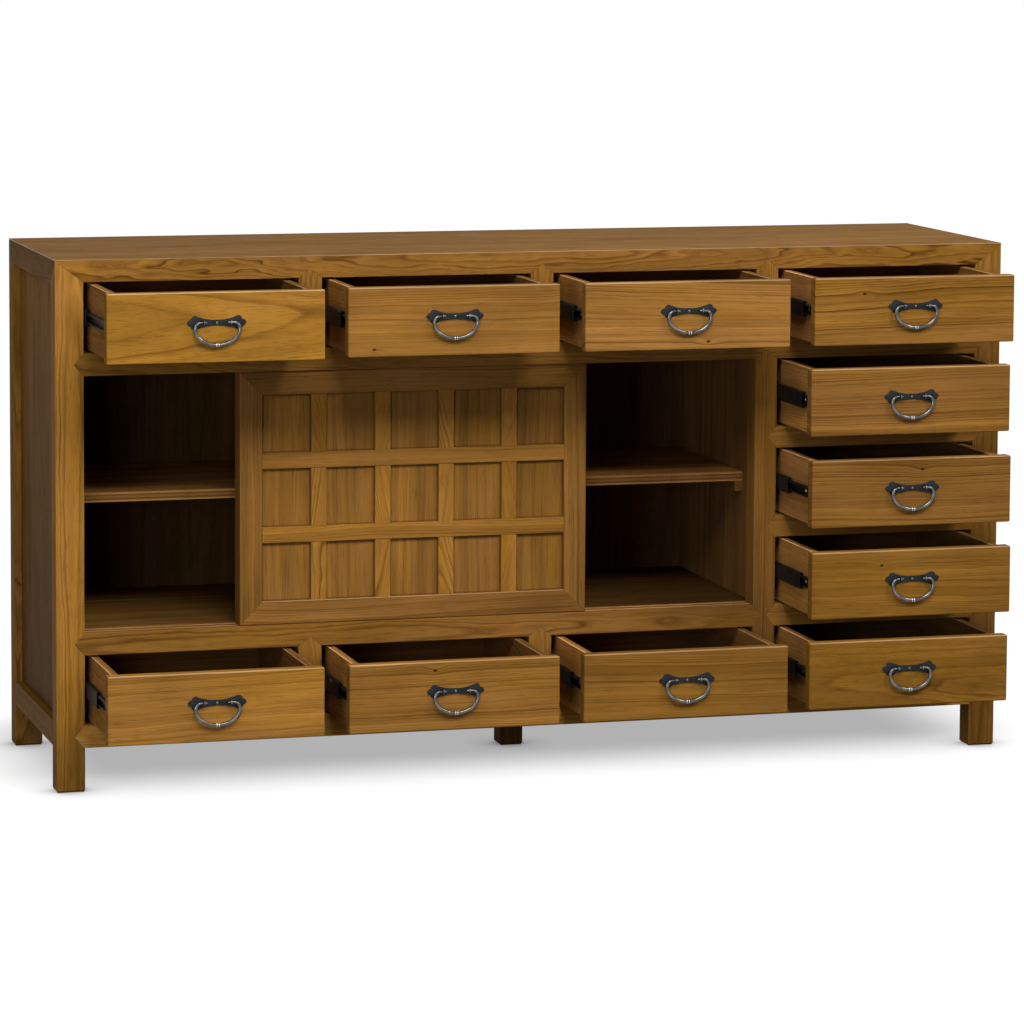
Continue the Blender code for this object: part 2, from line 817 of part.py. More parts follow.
def drawer_shape(open_by, reach):
    half_front = OPENING_WIDTH / 2 - FRONT_REVEAL
    half_height = OPENING_HEIGHT / 2 - FRONT_REVEAL
    front = block(
        (-half_front, 0, -half_height), (half_front, FRONT_THICKNESS, half_height)
    )
    ease(
        front,
        lambda edge: not lies_on(edge, 1, 0) and not lies_on(edge, 1, FRONT_THICKNESS),
        FRONT_CORNER_EASE,
        FRONT_EASE_STEPS,
    )
    ease(front, lambda edge: lies_on(edge, 1, 0), FRONT_EASE, FRONT_EASE_STEPS)
    half_box = OPENING_WIDTH / 2 - SLIDE_SPACE
    box_top = half_height - BOX_DROP
    box_bottom = BOX_DROP - half_height
    outer = block(
        (-half_box, FRONT_THICKNESS - FRONT_BITE, box_bottom), (half_box, BOX_DEPTH, box_top)
    )
    inner_half = half_box - BOX_WALL
    inner_front = FRONT_THICKNESS - FRONT_BITE / 2
    inner_back = BOX_DEPTH - BOX_WALL
    floor_bottom = box_bottom + BOX_FLOOR_RISE
    inside = block(
        (-inner_half, inner_front, floor_bottom + BOX_FLOOR),
        (inner_half, inner_back, box_top + OVERRUN),
    )
    underside = block(
        (-inner_half, inner_front, box_bottom - OVERRUN),
        (inner_half, inner_back, floor_bottom),
    )
    adds = [front]
    middle_front = open_by * (1 - reach)
    middle_back = min(
        SLIDE_BACK, DRAWER_TRAVEL + SLIDE_ENGAGED + SLIDE_FRONT_SETBACK
    )
    for side in (-1, 1):
        face = side * OPENING_WIDTH / 2
        outline = channel_outline(
            face, -side, 0, MIDDLE_SETBACK, MIDDLE_DEPTH, MIDDLE_HEIGHT
        )
        adds.append(prism(outline, 1, max(middle_front, FRONT_THICKNESS), middle_back))
        bar_outer = face - side * (MIDDLE_SETBACK + FUSE_LAP)
        bar_inner = side * (half_box - FUSE_LAP)
        adds.append(
            block(
                (min(bar_outer, bar_inner), FRONT_THICKNESS - FUSE_LAP, -BAR_HEIGHT / 2),
                (max(bar_outer, bar_inner), BOX_DEPTH - FUSE_LAP, BAR_HEIGHT / 2),
            )
        )
    return joined(cut(outer, inside, underside), *adds)


def smooth_outline(shares, width, height, steps):
    """The right half's points, with curves between the crisp corners."""
    points = [
        Vector((across * width / 2, up * height, 0)) for across, up, crisp in shares
    ]
    crisp = [point[2] for point in shares]
    crisp[0] = crisp[-1] = True
    outline = []
    for index in range(len(points) - 1):
        here, there = points[index], points[index + 1]
        before = here if crisp[index] else points[index - 1]
        after = there if crisp[index + 1] else points[index + 2]
        for step in range(steps):
            t = step / steps
            bend = (
                2 * here
                + (there - before) * t
                + (2 * before - 5 * here + 4 * there - after) * t**2
                + (3 * here - before - 3 * there + after) * t**3
            )
            outline.append(bend / 2)
    outline.append(points[-1])
    return outline


def plate_shape():
    """Bat-shaped back plate with its stud and the two eyes, hinge axis at the origin."""
    half = smooth_outline(PLATE_SHARES, PLATE_WIDTH, PLATE_HEIGHT, PLATE_CURVE_STEPS)
    outline = [(point.x, point.y) for point in half]
    outline += [(-point.x, point.y) for point in reversed(half[1:-1])]
    back = EYE_STANDOFF - SEAT_GAP
    face = back - PLATE_THICKNESS
    adds = [turned(STUD_RADIUS, 1, face - STUD_HEIGHT, face + FUSE_LAP, 8, (0, -STUD_DROP))]
    ring_radius = EYE_HOLE_RADIUS + EYE_WIRE_RADIUS
    for side in (-1, 1):
        middle = side * EYE_SPACING / 2
        stem_end = EYE_HOLE_RADIUS + EYE_WIRE_RADIUS / 2
        adds.append(turned(EYE_STEM_RADIUS, 1, stem_end, face + FUSE_LAP, 8, (middle, 0)))
        ring = bmesh.new()
        ends = []
        for step in range(EYE_WIRE_SIDES):
            angle = 2 * math.pi * step / EYE_WIRE_SIDES
            ends.append(
                ring.verts.new(
                    (
                        middle + EYE_WIRE_RADIUS * math.sin(angle),
                        0,
                        ring_radius + EYE_WIRE_RADIUS * math.cos(angle),
                    )
                )
            )
        profile = [
            ring.edges.new((ends[step - 1], ends[step])) for step in range(EYE_WIRE_SIDES)
        ]
        bmesh.ops.spin(
            ring,
            geom=ends + profile,
            cent=(middle, 0, 0),
            axis=(1, 0, 0),
            angle=2 * math.pi,
            steps=EYE_RING_STEPS,
            use_merge=True,
        )
        bmesh.ops.remove_doubles(ring, verts=ring.verts[:], dist=SEAT_GAP / 3)
        bmesh.ops.recalc_face_normals(ring, faces=ring.faces[:])
        adds.append(ring)
    return joined(prism(outline, 1, face, back), *adds)


def bail_shape():
    """The bail hanging from the hinge axis: pins, shoulders and a full bow."""
    pin_radius = EYE_HOLE_RADIUS - BAIL_PIN_CLEARANCE
    pin_end = EYE_SPACING / 2 - BAIL_PIN_REACH
    half_width = BAIL_WIDTH / 2 - BAIL_ROD_RADIUS
    bow_depth = BAIL_DROP - BAIL_ROD_RADIUS - BAIL_SHOULDER
    shoulder_start = EYE_SPACING / 2 + BAIL_PIN_REACH
    shoulder_width = half_width - shoulder_start
    path = [Vector((pin_end, 0, 0)), Vector((shoulder_start, 0, 0))]
    radii = [pin_radius, pin_radius]
    for step in range(1, BAIL_SHOULDER_STEPS + 1):
        share = step / BAIL_SHOULDER_STEPS
        angle = share * math.pi / 2
        path.append(
            Vector(
                (
                    shoulder_start + shoulder_width * math.sin(angle),
                    0,
                    BAIL_SHOULDER * (math.cos(angle) - 1),
                )
            )
        )
        radii.append(pin_radius + (BAIL_ROD_RADIUS - pin_radius) * min(1, share))
    for step in range(1, BAIL_BOW_STEPS + 1):
        angle = step / BAIL_BOW_STEPS * math.pi / 2
        path.append(
            Vector(
                (
                    half_width * math.cos(angle),
                    0,
                    -BAIL_SHOULDER - bow_depth * math.sin(angle),
                )
            )
        )
        radii.append(BAIL_ROD_RADIUS)
    path[-1].x = 0
    mirrored = [Vector((-point.x, 0, point.z)) for point in reversed(path[:-1])]
    path += mirrored
    radii += list(reversed(radii[:-1]))
    return swept_rod(path, radii, BAIL_SIDES)


def build_drawers(wood, iron, frame):
    plate_mesh = None
    bail_mesh = None
    for name, bay, row, open_share, reach_share in DRAWER_SHARES:
        open_by = open_share * DRAWER_TRAVEL
        place = (opening_left(bay) + OPENING_WIDTH / 2, -open_by, opening_middle(row))
        drawer = piece(
            "drawer_" + name, drawer_shape(open_by, reach_share), wood, frame, place
        )
        eye = (0, -EYE_STANDOFF, HANDLE_RISE)
        plate = piece("handle_plate_" + name, plate_shape(), iron, drawer, eye)
        bail = piece("handle_bail_" + name, bail_shape(), iron, drawer, eye, smooth=True)
        plate_mesh = plate_mesh or plate.data
        bail_mesh = bail_mesh or bail.data
        plate.data = plate_mesh
        bail.data = bail_mesh


# Doors, in door coordinates: x from the left edge, y back from the face, z from the
# lower rail's top


def door_shape():
    bay_height = UPPER_RAIL_BOTTOM - LOWER_RAIL_TOP
    width = door_width()
    bottom = DOOR_REVEAL
    top = bay_height - DOOR_REVEAL
    slab = block((0, 0, bottom), (width, DOOR_THICKNESS, top))
    half_tongue = TONGUE_THICKNESS / 2
    middle = DOOR_THICKNESS / 2
    tongues = [
        block(
            (0, middle - half_tongue, SEAT_GAP - LOWER_GROOVE_DEPTH),
            (width, middle + half_tongue, bottom + FUSE_LAP),
        ),
        block(
            (0, middle - half_tongue, top - FUSE_LAP),
            (width, middle + half_tongue, bay_height + UPPER_TONGUE_REACH),
        ),
    ]
    inner_width = width - 2 * DOOR_FRAME_WIDTH
    inner_height = top - bottom - 2 * DOOR_FRAME_WIDTH
    panel_width = (inner_width - (LATTICE_COLUMNS - 1) * LATTICE_WIDTH) / LATTICE_COLUMNS
    panel_height = (inner_height - (LATTICE_ROWS - 1) * LATTICE_WIDTH) / LATTICE_ROWS
    pockets = []
    for column in range(LATTICE_COLUMNS):
        left = DOOR_FRAME_WIDTH + column * (panel_width + LATTICE_WIDTH)
        for row in range(LATTICE_ROWS):
            low = bottom + DOOR_FRAME_WIDTH + row * (panel_height + LATTICE_WIDTH)
            pockets.append(
                block(
                    (left, -OVERRUN, low),
                    (left + panel_width, PANEL_RECESS, low + panel_height),
                )
            )
    pockets.append(
        block(
            (DOOR_FRAME_WIDTH, DOOR_THICKNESS - PANEL_BACK_RECESS, bottom + DOOR_FRAME_WIDTH),
            (width - DOOR_FRAME_WIDTH, DOOR_THICKNESS + OVERRUN, top - DOOR_FRAME_WIDTH),
        )
    )
    return cut(joined(slab, *tongues), *pockets)


def door_width():
    return (STILE_LEFT - LEFT_EDGE + DOOR_OVERLAP) / 2


def build_doors(material, frame):
    free_run = STILE_LEFT - LEFT_EDGE - door_width()
    doors = (
        ("door_front", False, FRONT_DOOR_OPEN_SHARE),
        ("door_rear", True, REAR_DOOR_OPEN_SHARE),
    )
    for name, rear, open_share in doors:
        place = (LEFT_EDGE + open_share * free_run, door_front_face(rear), LOWER_RAIL_TOP)
        piece(name, door_shape(), material, frame, place)


def build_case(elm, board_elm, frame):
    left_mates = [(upper_rail, False), (lower_rail, False), (bottom_rail, False)]
    right_mates = [(upper_rail, True), (bottom_rail, True)]
    right_mates += [(rail, True) for rail in column_rails]
    build_post("post_front_left", False, False, left_mates, elm, frame)
    build_post("post_front_right", True, False, right_mates, elm, frame)
    build_post("post_back_left", False, True, [], elm, frame)
    build_post("post_back_right", True, True, [], elm, frame)
    piece("top_panel", top_shape(0), elm, frame)
    build_top_rail(elm, frame)
    upper_grooves = [
        groove(rear, UPPER_RAIL_BOTTOM - OVERRUN, UPPER_RAIL_BOTTOM + UPPER_GROOVE_DEPTH)
        for rear in (False, True)
    ]
    lower_grooves = [
        groove(rear, LOWER_RAIL_TOP - LOWER_GROOVE_DEPTH, LOWER_RAIL_TOP + OVERRUN)
        for rear in (False, True)
    ]
    upper_mates = [(main_stile, True)] + [(muntin, False) for muntin in top_muntins]
    lower_mates = [(muntin, True) for muntin in bottom_muntins]
    bottom_mates = [(main_stile, False)] + [(muntin, False) for muntin in bottom_muntins]
    build_member("rail_upper_front", upper_rail, upper_mates, upper_grooves, elm, frame)
    build_member("rail_lower_front", lower_rail, lower_mates, lower_grooves, elm, frame)
    build_member("rail_bottom_front", bottom_rail, bottom_mates, [], elm, frame)
    for number, rail in enumerate(reversed(column_rails), 1):
        build_member(f"column_rail_{number}", rail, [], [], elm, frame)
    for number, muntin in enumerate(top_muntins, 1):
        build_divider(f"divider_top_{number}", muntin, DRAWER_ROWS - 1, elm, frame)
    for number, muntin in enumerate(bottom_muntins, 1):
        build_divider(f"divider_bottom_{number}", muntin, 0, elm, frame)
    build_partition(elm, frame)
    build_side("side_left", False, (0, DRAWER_ROWS - 1), True, elm, frame)
    build_side("side_right", True, range(DRAWER_ROWS), False, elm, frame)
    build_back(board_elm, frame)
    build_base(board_elm, frame)
    build_inner_boards(board_elm, frame)


def main():
    clear_scene()
    elm = make_material("oiled_elm", (0.39, 0.19, 0.05), 0.45, 0)
    board_elm = make_material("inner_elm_board", (0.24, 0.13, 0.05), 0.6, 0)
    iron = make_material("blackened_iron", (0.05, 0.055, 0.06), 0.4, 1)
    frame = bpy.data.objects.new("case_frame", None)
    frame.location = (-CASE_WIDTH / 2, -CASE_DEPTH / 2, 0)
    bpy.context.scene.collection.objects.link(frame)
    build_case(elm, board_elm, frame)
    build_doors(elm, frame)
    build_drawers(elm, iron, frame)


main()
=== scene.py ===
import math
import random

import bmesh
import bpy
from mathutils import Matrix, Vector


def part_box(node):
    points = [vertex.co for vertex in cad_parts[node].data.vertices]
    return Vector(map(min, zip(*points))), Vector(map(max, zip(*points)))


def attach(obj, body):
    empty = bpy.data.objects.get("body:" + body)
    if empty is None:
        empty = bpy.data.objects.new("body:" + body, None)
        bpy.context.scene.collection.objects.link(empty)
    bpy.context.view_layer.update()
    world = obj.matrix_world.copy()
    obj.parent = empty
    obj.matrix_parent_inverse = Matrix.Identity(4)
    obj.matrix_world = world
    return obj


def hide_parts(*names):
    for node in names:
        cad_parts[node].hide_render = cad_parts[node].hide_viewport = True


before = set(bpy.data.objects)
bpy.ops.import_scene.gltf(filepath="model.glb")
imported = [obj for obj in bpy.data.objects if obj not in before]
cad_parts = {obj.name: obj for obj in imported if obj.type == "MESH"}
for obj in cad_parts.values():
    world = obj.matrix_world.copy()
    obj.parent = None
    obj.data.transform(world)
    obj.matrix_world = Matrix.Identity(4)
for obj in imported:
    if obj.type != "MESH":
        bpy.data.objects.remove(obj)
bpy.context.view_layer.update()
dice = random.Random(23)
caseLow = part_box("top_panel")[0]
corner = Vector((caseLow.x, caseLow.y, 0))  # left front corner of the case, on the floor
print("frame loaded:", len(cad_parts), "solids")


def linear(hexColour):
    parts = [int(hexColour[place : place + 2], 16) / 255 for place in (1, 3, 5)]
    curved = [
        part / 12.92 if part <= 0.04045 else ((part + 0.055) / 1.055) ** 2.4 for part in parts
    ]
    return (*curved, 1)


def addNode(tree, kind, settings=None, links=None):
    made = tree.nodes.new(kind)
    for name, value in (settings or {}).items():
        setattr(made, name, value)
    for name, value in (links or {}).items():
        if isinstance(value, bpy.types.NodeSocket):
            tree.links.new(value, made.inputs[name])
        else:
            made.inputs[name].default_value = value
    return made


def setStops(ramp, stops):
    # stops are (place, grey) pairs
    band = ramp.color_ramp
    while len(band.elements) > 2:
        band.elements.remove(band.elements[-1])
    for index, (place, grey) in enumerate(stops):
        stop = band.elements[index] if index < 2 else band.elements.new(place)
        stop.position = place
        stop.color = (grey, grey, grey, 1)


# Oiled elm: planed, stained golden brown and oiled to a satin sheen. The eye sees thin brown
# growth lines that close into tongues on flat-sawn boards, short pore streaks and slow
# changes from gold to brown. Every board carries its own place in the log as an attribute.
elmLook = {
    "gold": "#aa782b",
    "brown": "#a8763a",
    "line": "#5a3612",
    "pore": "#6e451b",
    "knot": "#3a2210",
    "ringWidth": 0.0062,  # metres between growth lines
    "roughness": (0.42, 0.54),
    "specular": 0.004,
    "bump": 0.16,
}

# Inner elm: the same wood behind the fronts, with less stain and no rubbing, so it is
# browner, a little greener and flatter.
innerLook = {
    "gold": "#8c652f",
    "brown": "#805a32",
    "line": "#5a3a16",
    "pore": "#5a3a16",
    "knot": "#33200f",
    "ringWidth": 0.0066,
    "roughness": (0.50, 0.62),
    "specular": 0.004,
    "bump": 0.16,
}

# Rubbed arris: the rounded edges of the fronts and frame, where the stain is worn through and
# the oil is polished. Their pale colour is partly that wear and partly a painted highlight for
# the light they catch from above, so they show as a thin pale line.
arrisLook = {
    **elmLook,
    "gold": "#cba06c",
    "brown": "#c89d70",
    "line": "#9a7244",
    "pore": "#94693c",
    "roughness": (0.34, 0.44),
    "specular": 0.12,
}

noiseLow, noiseHigh = 0.3, 0.7  # where most of a noise lies

# what the three finishes share, lengths in metres unless a note says millimetres
elmGrain = {
    # noises stretched along the grain: millimetres along it, millimetres across it, detail
    "noises": {
        "sweep": (588.2, 142.9, 1),
        "wave": (125, 26.3, 2),
        "ripple": (62.5, 5.88, 2),
        "fade": (384.6, 16.67, 2),
        "broad": (400, 62.5, 3),
        "patch": (250, 50, 2),
        "pores": (100, 1.786, 3),
        "fleck": (29.4, 1.25, 1),
        "sheen": (33.3, 16.7, 2),
    },
    # how far each noise and a knot push the growth lines
    "pushes": {"sweep": 0.030, "swirl": 0.0065, "ripple": 0.0009, "knot": 0.0045},
    # slow changes of the space between growth lines: changes per line, detail, lines moved
    "slow": (0.4, 1, 1.7),
    "slower": (0.13, 0, 5),
    # a growth line from its dark edge to its pale side
    "profile": ((0, 0.62), (0.10, 1), (0.28, 0.52), (0.55, 0.20), (0.86, 0.04), (1, 0.62)),
    "knotShape": (0.65, 1.15, 0),  # a knot is longer along the grain
    # two distances from a knot's heart, and how strong its colour or its push is there
    "knotDark": (0.0032, 0.0012, 0, 1),
    "knotPush": (0.020, 0, 0, 1),
    # low and high end of a noise, and what they become
    "ranges": {
        "ringStrength": (0, 1, 0.18, 1),
        "fade": (0.3, 0.65, 0.5, 1),
        "pores": (0.52, 0.75, 0, 0.55),
        "fleck": (0.60, 0.75, 0, 0.5),
        "broad": (0.35, 0.65, -0.35, 0.35),
        "patch": (noiseLow, noiseHigh, 0.83, 1.17),
        "bands": (noiseLow, noiseHigh, 0.84, 1.16),
    },
    "lineDepth": -0.6,  # share of the relief by which a growth line sinks
    "relief": 0.0006,
}


def elm(name, look):
    material = bpy.data.materials.new(name)
    material.use_nodes = True
    tree = material.node_tree
    shader = tree.nodes["Principled BSDF"]
    grain = addNode(tree, "ShaderNodeAttribute", {"attribute_name": "grain"}).outputs["Vector"]
    tone = addNode(tree, "ShaderNodeAttribute", {"attribute_name": "tone"}).outputs["Vector"]
    knot = addNode(tree, "ShaderNodeAttribute", {"attribute_name": "knot"}).outputs["Vector"]
    toneParts = addNode(tree, "ShaderNodeSeparateXYZ", {}, {0: tone}).outputs
    across = addNode(
        tree, "ShaderNodeVectorMath", {"operation": "MULTIPLY"}, {0: grain, 1: (0, 1, 1)}
    ).outputs[0]
    radius = addNode(
        tree, "ShaderNodeVectorMath", {"operation": "LENGTH"}, {0: across}
    ).outputs["Value"]

    cloud = {}
    for part, (along, wide, detail) in elmGrain["noises"].items():
        scaled = addNode(
            tree,
            "ShaderNodeVectorMath",
            {"operation": "MULTIPLY"},
            {0: grain, 1: (1000 / along, 1000 / wide, 1000 / wide)},
        ).outputs[0]
        cloud[part] = addNode(
            tree, "ShaderNodeTexNoise", {}, {"Vector": scaled, "Scale": 1, "Detail": detail}
        ).outputs["Fac"]

    # a pin knot darkens its middle and pushes the growth lines aside
    knotPlace = addNode(
        tree,
        "ShaderNodeVectorMath",
        {"operation": "MULTIPLY"},
        {0: knot, 1: elmGrain["knotShape"]},
    ).outputs[0]
    swirl = addNode(tree, "ShaderNodeSeparateXYZ", {}, {0: knot}).outputs[2]
    swirls = addNode(
        tree, "ShaderNodeMath", {"operation": "MULTIPLY"}, {0: cloud["wave"], 1: swirl}
    ).outputs[0]
    knotDistance = addNode(
        tree, "ShaderNodeVectorMath", {"operation": "LENGTH"}, {0: knotPlace}
    ).outputs["Value"]
    knotDark, knotPush = (
        addNode(
            tree,
            "ShaderNodeMapRange",
            {"interpolation_type": "SMOOTHSTEP"},
            {0: knotDistance, **dict(enumerate(elmGrain[part], 1))},
        ).outputs[0]
        for part in ("knotDark", "knotPush")
    )

    # growth lines: distance from the pith, pushed about by the noises
    pushed = {"sweep": cloud["sweep"], "swirl": swirls, "ripple": cloud["ripple"], "knot": knotPush}
    ringPlace = radius
    for part, amount in elmGrain["pushes"].items():
        ringPlace = addNode(
            tree,
            "ShaderNodeMath",
            {"operation": "MULTIPLY_ADD"},
            {0: pushed[part], 1: amount, 2: ringPlace},
        ).outputs[0]
    rings = addNode(
        tree, "ShaderNodeMath", {"operation": "DIVIDE"}, {0: ringPlace, 1: look["ringWidth"]}
    ).outputs[0]
    slow, slower = (
        addNode(
            tree,
            "ShaderNodeTexNoise",
            {"noise_dimensions": "1D"},
            {"W": rings, "Scale": elmGrain[part][0], "Detail": elmGrain[part][1]},
        ).outputs["Fac"]
        for part in ("slow", "slower")
    )
    for push, part in ((slow, "slow"), (slower, "slower")):
        rings = addNode(
            tree,
            "ShaderNodeMath",
            {"operation": "MULTIPLY_ADD"},
            {0: push, 1: elmGrain[part][2], 2: rings},
        ).outputs[0]
    withinRing = addNode(tree, "ShaderNodeMath", {"operation": "FRACT"}, {0: rings}).outputs[0]
    ringNumber = addNode(tree, "ShaderNodeMath", {"operation": "FLOOR"}, {0: rings}).outputs[0]
    ringChance = addNode(
        tree, "ShaderNodeTexWhiteNoise", {"noise_dimensions": "1D"}, {"W": ringNumber}
    ).outputs["Value"]

    # noises brought to the shares they have in the colour
    ranged = {}
    sources = {**cloud, "ringStrength": ringChance, "bands": slow}
    for part, ends in elmGrain["ranges"].items():
        ranged[part] = addNode(
            tree, "ShaderNodeMapRange", {}, {0: sources[part], **dict(enumerate(ends, 1))}
        ).outputs[0]
    profile = addNode(tree, "ShaderNodeValToRGB", {}, {0: withinRing})
    setStops(profile, elmGrain["profile"])
    line = profile.outputs[0]
    for share in (ranged["ringStrength"], ranged["fade"], toneParts[2]):
        line = addNode(
            tree, "ShaderNodeMath", {"operation": "MULTIPLY"}, {0: line, 1: share}
        ).outputs[0]
    warmth = addNode(
        tree,
        "ShaderNodeMath",
        {"operation": "ADD", "use_clamp": True},
        {0: ranged["broad"], 1: toneParts[1]},
    ).outputs[0]

    # colours laid over each other
    colour = addNode(
        tree,
        "ShaderNodeMix",
        {"data_type": "RGBA"},
        {0: warmth, 6: linear(look["gold"]), 7: linear(look["brown"])},
    ).outputs[2]
    for share, layer in (
        (line, look["line"]),
        (ranged["pores"], look["pore"]),
        (ranged["fleck"], look["pore"]),
        (knotDark, look["knot"]),
    ):
        colour = addNode(
            tree, "ShaderNodeMix", {"data_type": "RGBA"}, {0: share, 6: colour, 7: linear(layer)}
        ).outputs[2]
    for share in (toneParts[0], ranged["patch"], ranged["bands"]):
        colour = addNode(
            tree, "ShaderNodeVectorMath", {"operation": "SCALE"}, {0: colour, "Scale": share}
        ).outputs[0]
    tree.links.new(colour, shader.inputs["Base Color"])

    low, high = look["roughness"]
    roughness = addNode(
        tree,
        "ShaderNodeMapRange",
        {},
        {0: cloud["sheen"], 1: noiseLow, 2: noiseHigh, 3: low, 4: high},
    ).outputs[0]
    tree.links.new(roughness, shader.inputs["Roughness"])
    height = addNode(
        tree,
        "ShaderNodeMath",
        {"operation": "MULTIPLY_ADD"},
        {0: line, 1: elmGrain["lineDepth"], 2: cloud["pores"]},
    ).outputs[0]
    bump = addNode(
        tree,
        "ShaderNodeBump",
        {},
        {"Strength": look["bump"], "Distance": elmGrain["relief"], "Height": height},
    ).outputs[0]
    tree.links.new(bump, shader.inputs["Normal"])
    shader.inputs["Specular IOR Level"].default_value = look["specular"]
    return material


# Metals. Blackened iron: forged, blued black and waxed, so the plates are near black and the
# touched bails and eyes are rubbed to a grey shine. Slides: pressed steel with black zinc, and
# screws and collars in bright zinc. A spot is a hammered or plated patch, in millimetres.
metalLooks = {
    "blackened iron": {
        "base": "#151718",
        "worn": "#222527",
        "metallic": 0.1,
        "specular": 0.22,
        "roughness": (0.46, 0.62),
        "spot": 2.381,
        "bump": 0.25,
    },
    "rubbed iron": {
        "base": "#575856",
        "worn": "#72716e",
        "metallic": 1.0,
        "specular": 0.5,
        "roughness": (0.16, 0.24),
        "spot": 3.333,
        "bump": 0.05,
    },
    "black zinc slide steel": {
        "base": "#101113",
        "worn": "#1b1c1f",
        "metallic": 0.2,
        "specular": 0.2,
        "roughness": (0.45, 0.60),
        "spot": 3.846,
        "bump": 0.08,
    },
    "bright zinc steel": {
        "base": "#c6c8ca",
        "worn": "#e2e3e4",
        "metallic": 1.0,
        "specular": 0.5,
        "roughness": (0.30, 0.42),
        "spot": 2.0,
        "bump": 0.05,
    },
}
wornPatch = 16.67  # millimetres
wornFrom, wornFull = 0.42, 0.68  # of the noise of the worn patches
metalRelief = 0.0003


def metal(name):
    look = metalLooks[name]
    material = bpy.data.materials.new(name)
    material.use_nodes = True
    tree = material.node_tree
    shader = tree.nodes["Principled BSDF"]
    place = addNode(tree, "ShaderNodeTexCoord").outputs["Object"]
    spots = addNode(
        tree,
        "ShaderNodeTexNoise",
        {},
        {"Vector": place, "Scale": 1000 / look["spot"], "Detail": 4},
    ).outputs["Fac"]
    patches = addNode(
        tree, "ShaderNodeTexNoise", {}, {"Vector": place, "Scale": 1000 / wornPatch, "Detail": 2}
    ).outputs["Fac"]
    worn = addNode(
        tree,
        "ShaderNodeMapRange",
        {},
        {0: patches, 1: wornFrom, 2: wornFull, 3: 0, 4: 1},
    ).outputs[0]
    colour = addNode(
        tree,
        "ShaderNodeMix",
        {"data_type": "RGBA"},
        {0: worn, 6: linear(look["base"]), 7: linear(look["worn"])},
    ).outputs[2]
    tree.links.new(colour, shader.inputs["Base Color"])
    low, high = look["roughness"]
    roughness = addNode(
        tree, "ShaderNodeMapRange", {}, {0: spots, 1: noiseLow, 2: noiseHigh, 3: low, 4: high}
    ).outputs[0]
    tree.links.new(roughness, shader.inputs["Roughness"])
    bump = addNode(
        tree,
        "ShaderNodeBump",
        {},
        {"Strength": look["bump"], "Distance": metalRelief, "Height": spots},
    ).outputs[0]
    tree.links.new(bump, shader.inputs["Normal"])
    shader.inputs["Metallic"].default_value = look["metallic"]
    shader.inputs["Specular IOR Level"].default_value = look["specular"]
    return material


oiledElm = elm("oiled elm", elmLook)
innerElm = elm("inner elm board", innerLook)
arrisElm = elm("rubbed elm arris with painted highlight", arrisLook)
blackIron = metal("blackened iron")
rubbedIron = metal("rubbed iron")
slideSteel = metal("black zinc slide steel")
brightSteel = metal("bright zinc steel")
print("materials made")


near = 0.0002  # points closer than this lie on the same plane
leansUp, liesFlat = 0.25, 0.95  # upward share of a face's normal


def slab(low, high):
    shape = bmesh.new()
    bmesh.ops.create_cube(shape, size=1)
    for vertex in shape.verts:
        for axis in range(3):
            vertex.co[axis] = high[axis] if vertex.co[axis] > 0 else low[axis]
    return shape


def extrude(outline, axis, start, end):
    # an outline in the plane across the axis, in the order of the other two axes
    across = [other for other in range(3) if other != axis]
    shape = bmesh.new()
    corners = []
    for first, second in outline:
        place = Vector()
        place[across[0]] = first
        place[across[1]] = second
        place[axis] = start
        corners.append(shape.verts.new(place))
    face = shape.faces.new(corners)
    grown = bmesh.ops.extrude_face_region(shape, geom=[face])
    for item in grown["geom"]:
        if isinstance(item, bmesh.types.BMVert):
            item.co[axis] = end
    bmesh.ops.recalc_face_normals(shape, faces=shape.faces[:])
    return shape


def saw(shape, point, normal, gap=0):
    # takes off what lies past a plane, on its normal's side
    normal = Vector(normal).normalized()
    cut = bmesh.ops.bisect_plane(
        shape,
        geom=shape.verts[:] + shape.edges[:] + shape.faces[:],
        plane_co=Vector(point) - gap * normal,
        plane_no=normal,
        clear_outer=True,
    )
    rim = [item for item in cut["geom_cut"] if isinstance(item, bmesh.types.BMEdge)]
    if rim:
        bmesh.ops.contextual_create(shape, geom=rim)
    bmesh.ops.remove_doubles(shape, verts=shape.verts[:], dist=near / 2)
    bmesh.ops.recalc_face_normals(shape, faces=shape.faces[:])
    return shape


def roundOff(shape, wanted, width, steps=2, worn=None):
    # worn picks, by their normal, the new faces that show rubbed wood and a painted highlight
    picked = [edge for edge in shape.edges if wanted(edge)]
    if picked:
        rounded = bmesh.ops.bevel(
            shape, geom=picked, offset=width, segments=steps, profile=0.5, affect="EDGES"
        )
        for face in rounded["faces"]:
            face.normal_update()
            face.material_index = 1 if worn and worn(face.normal) else 0
    return shape


def upward(normal):
    # faces that lean upwards, where hands rub and the light from above falls (painted highlight)
    return normal.z > leansUp


def shift(shape, by):
    bmesh.ops.translate(shape, verts=shape.verts[:], vec=by)


def liesOn(edge, axis, value):
    return all(abs(vertex.co[axis] - value) < near for vertex in edge.verts)


def square(edge, along=None):
    # true where the edge runs along one axis only
    span = edge.verts[0].co - edge.verts[1].co
    straight = [axis for axis in range(3) if abs(span[axis]) > 2 * near]
    return len(straight) == 1 and (along is None or straight[0] in along)


def cutAcross(shape, axis, value):
    # a saw line that leaves the board whole, so its tone can change there
    spot, normal = [0, 0, 0], [0, 0, 0]
    spot[axis], normal[axis] = value, 1
    every = shape.verts[:] + shape.edges[:] + shape.faces[:]
    bmesh.ops.bisect_plane(shape, geom=every, plane_co=spot, plane_no=normal)


noKnot = (9, 9)  # metres away from the board


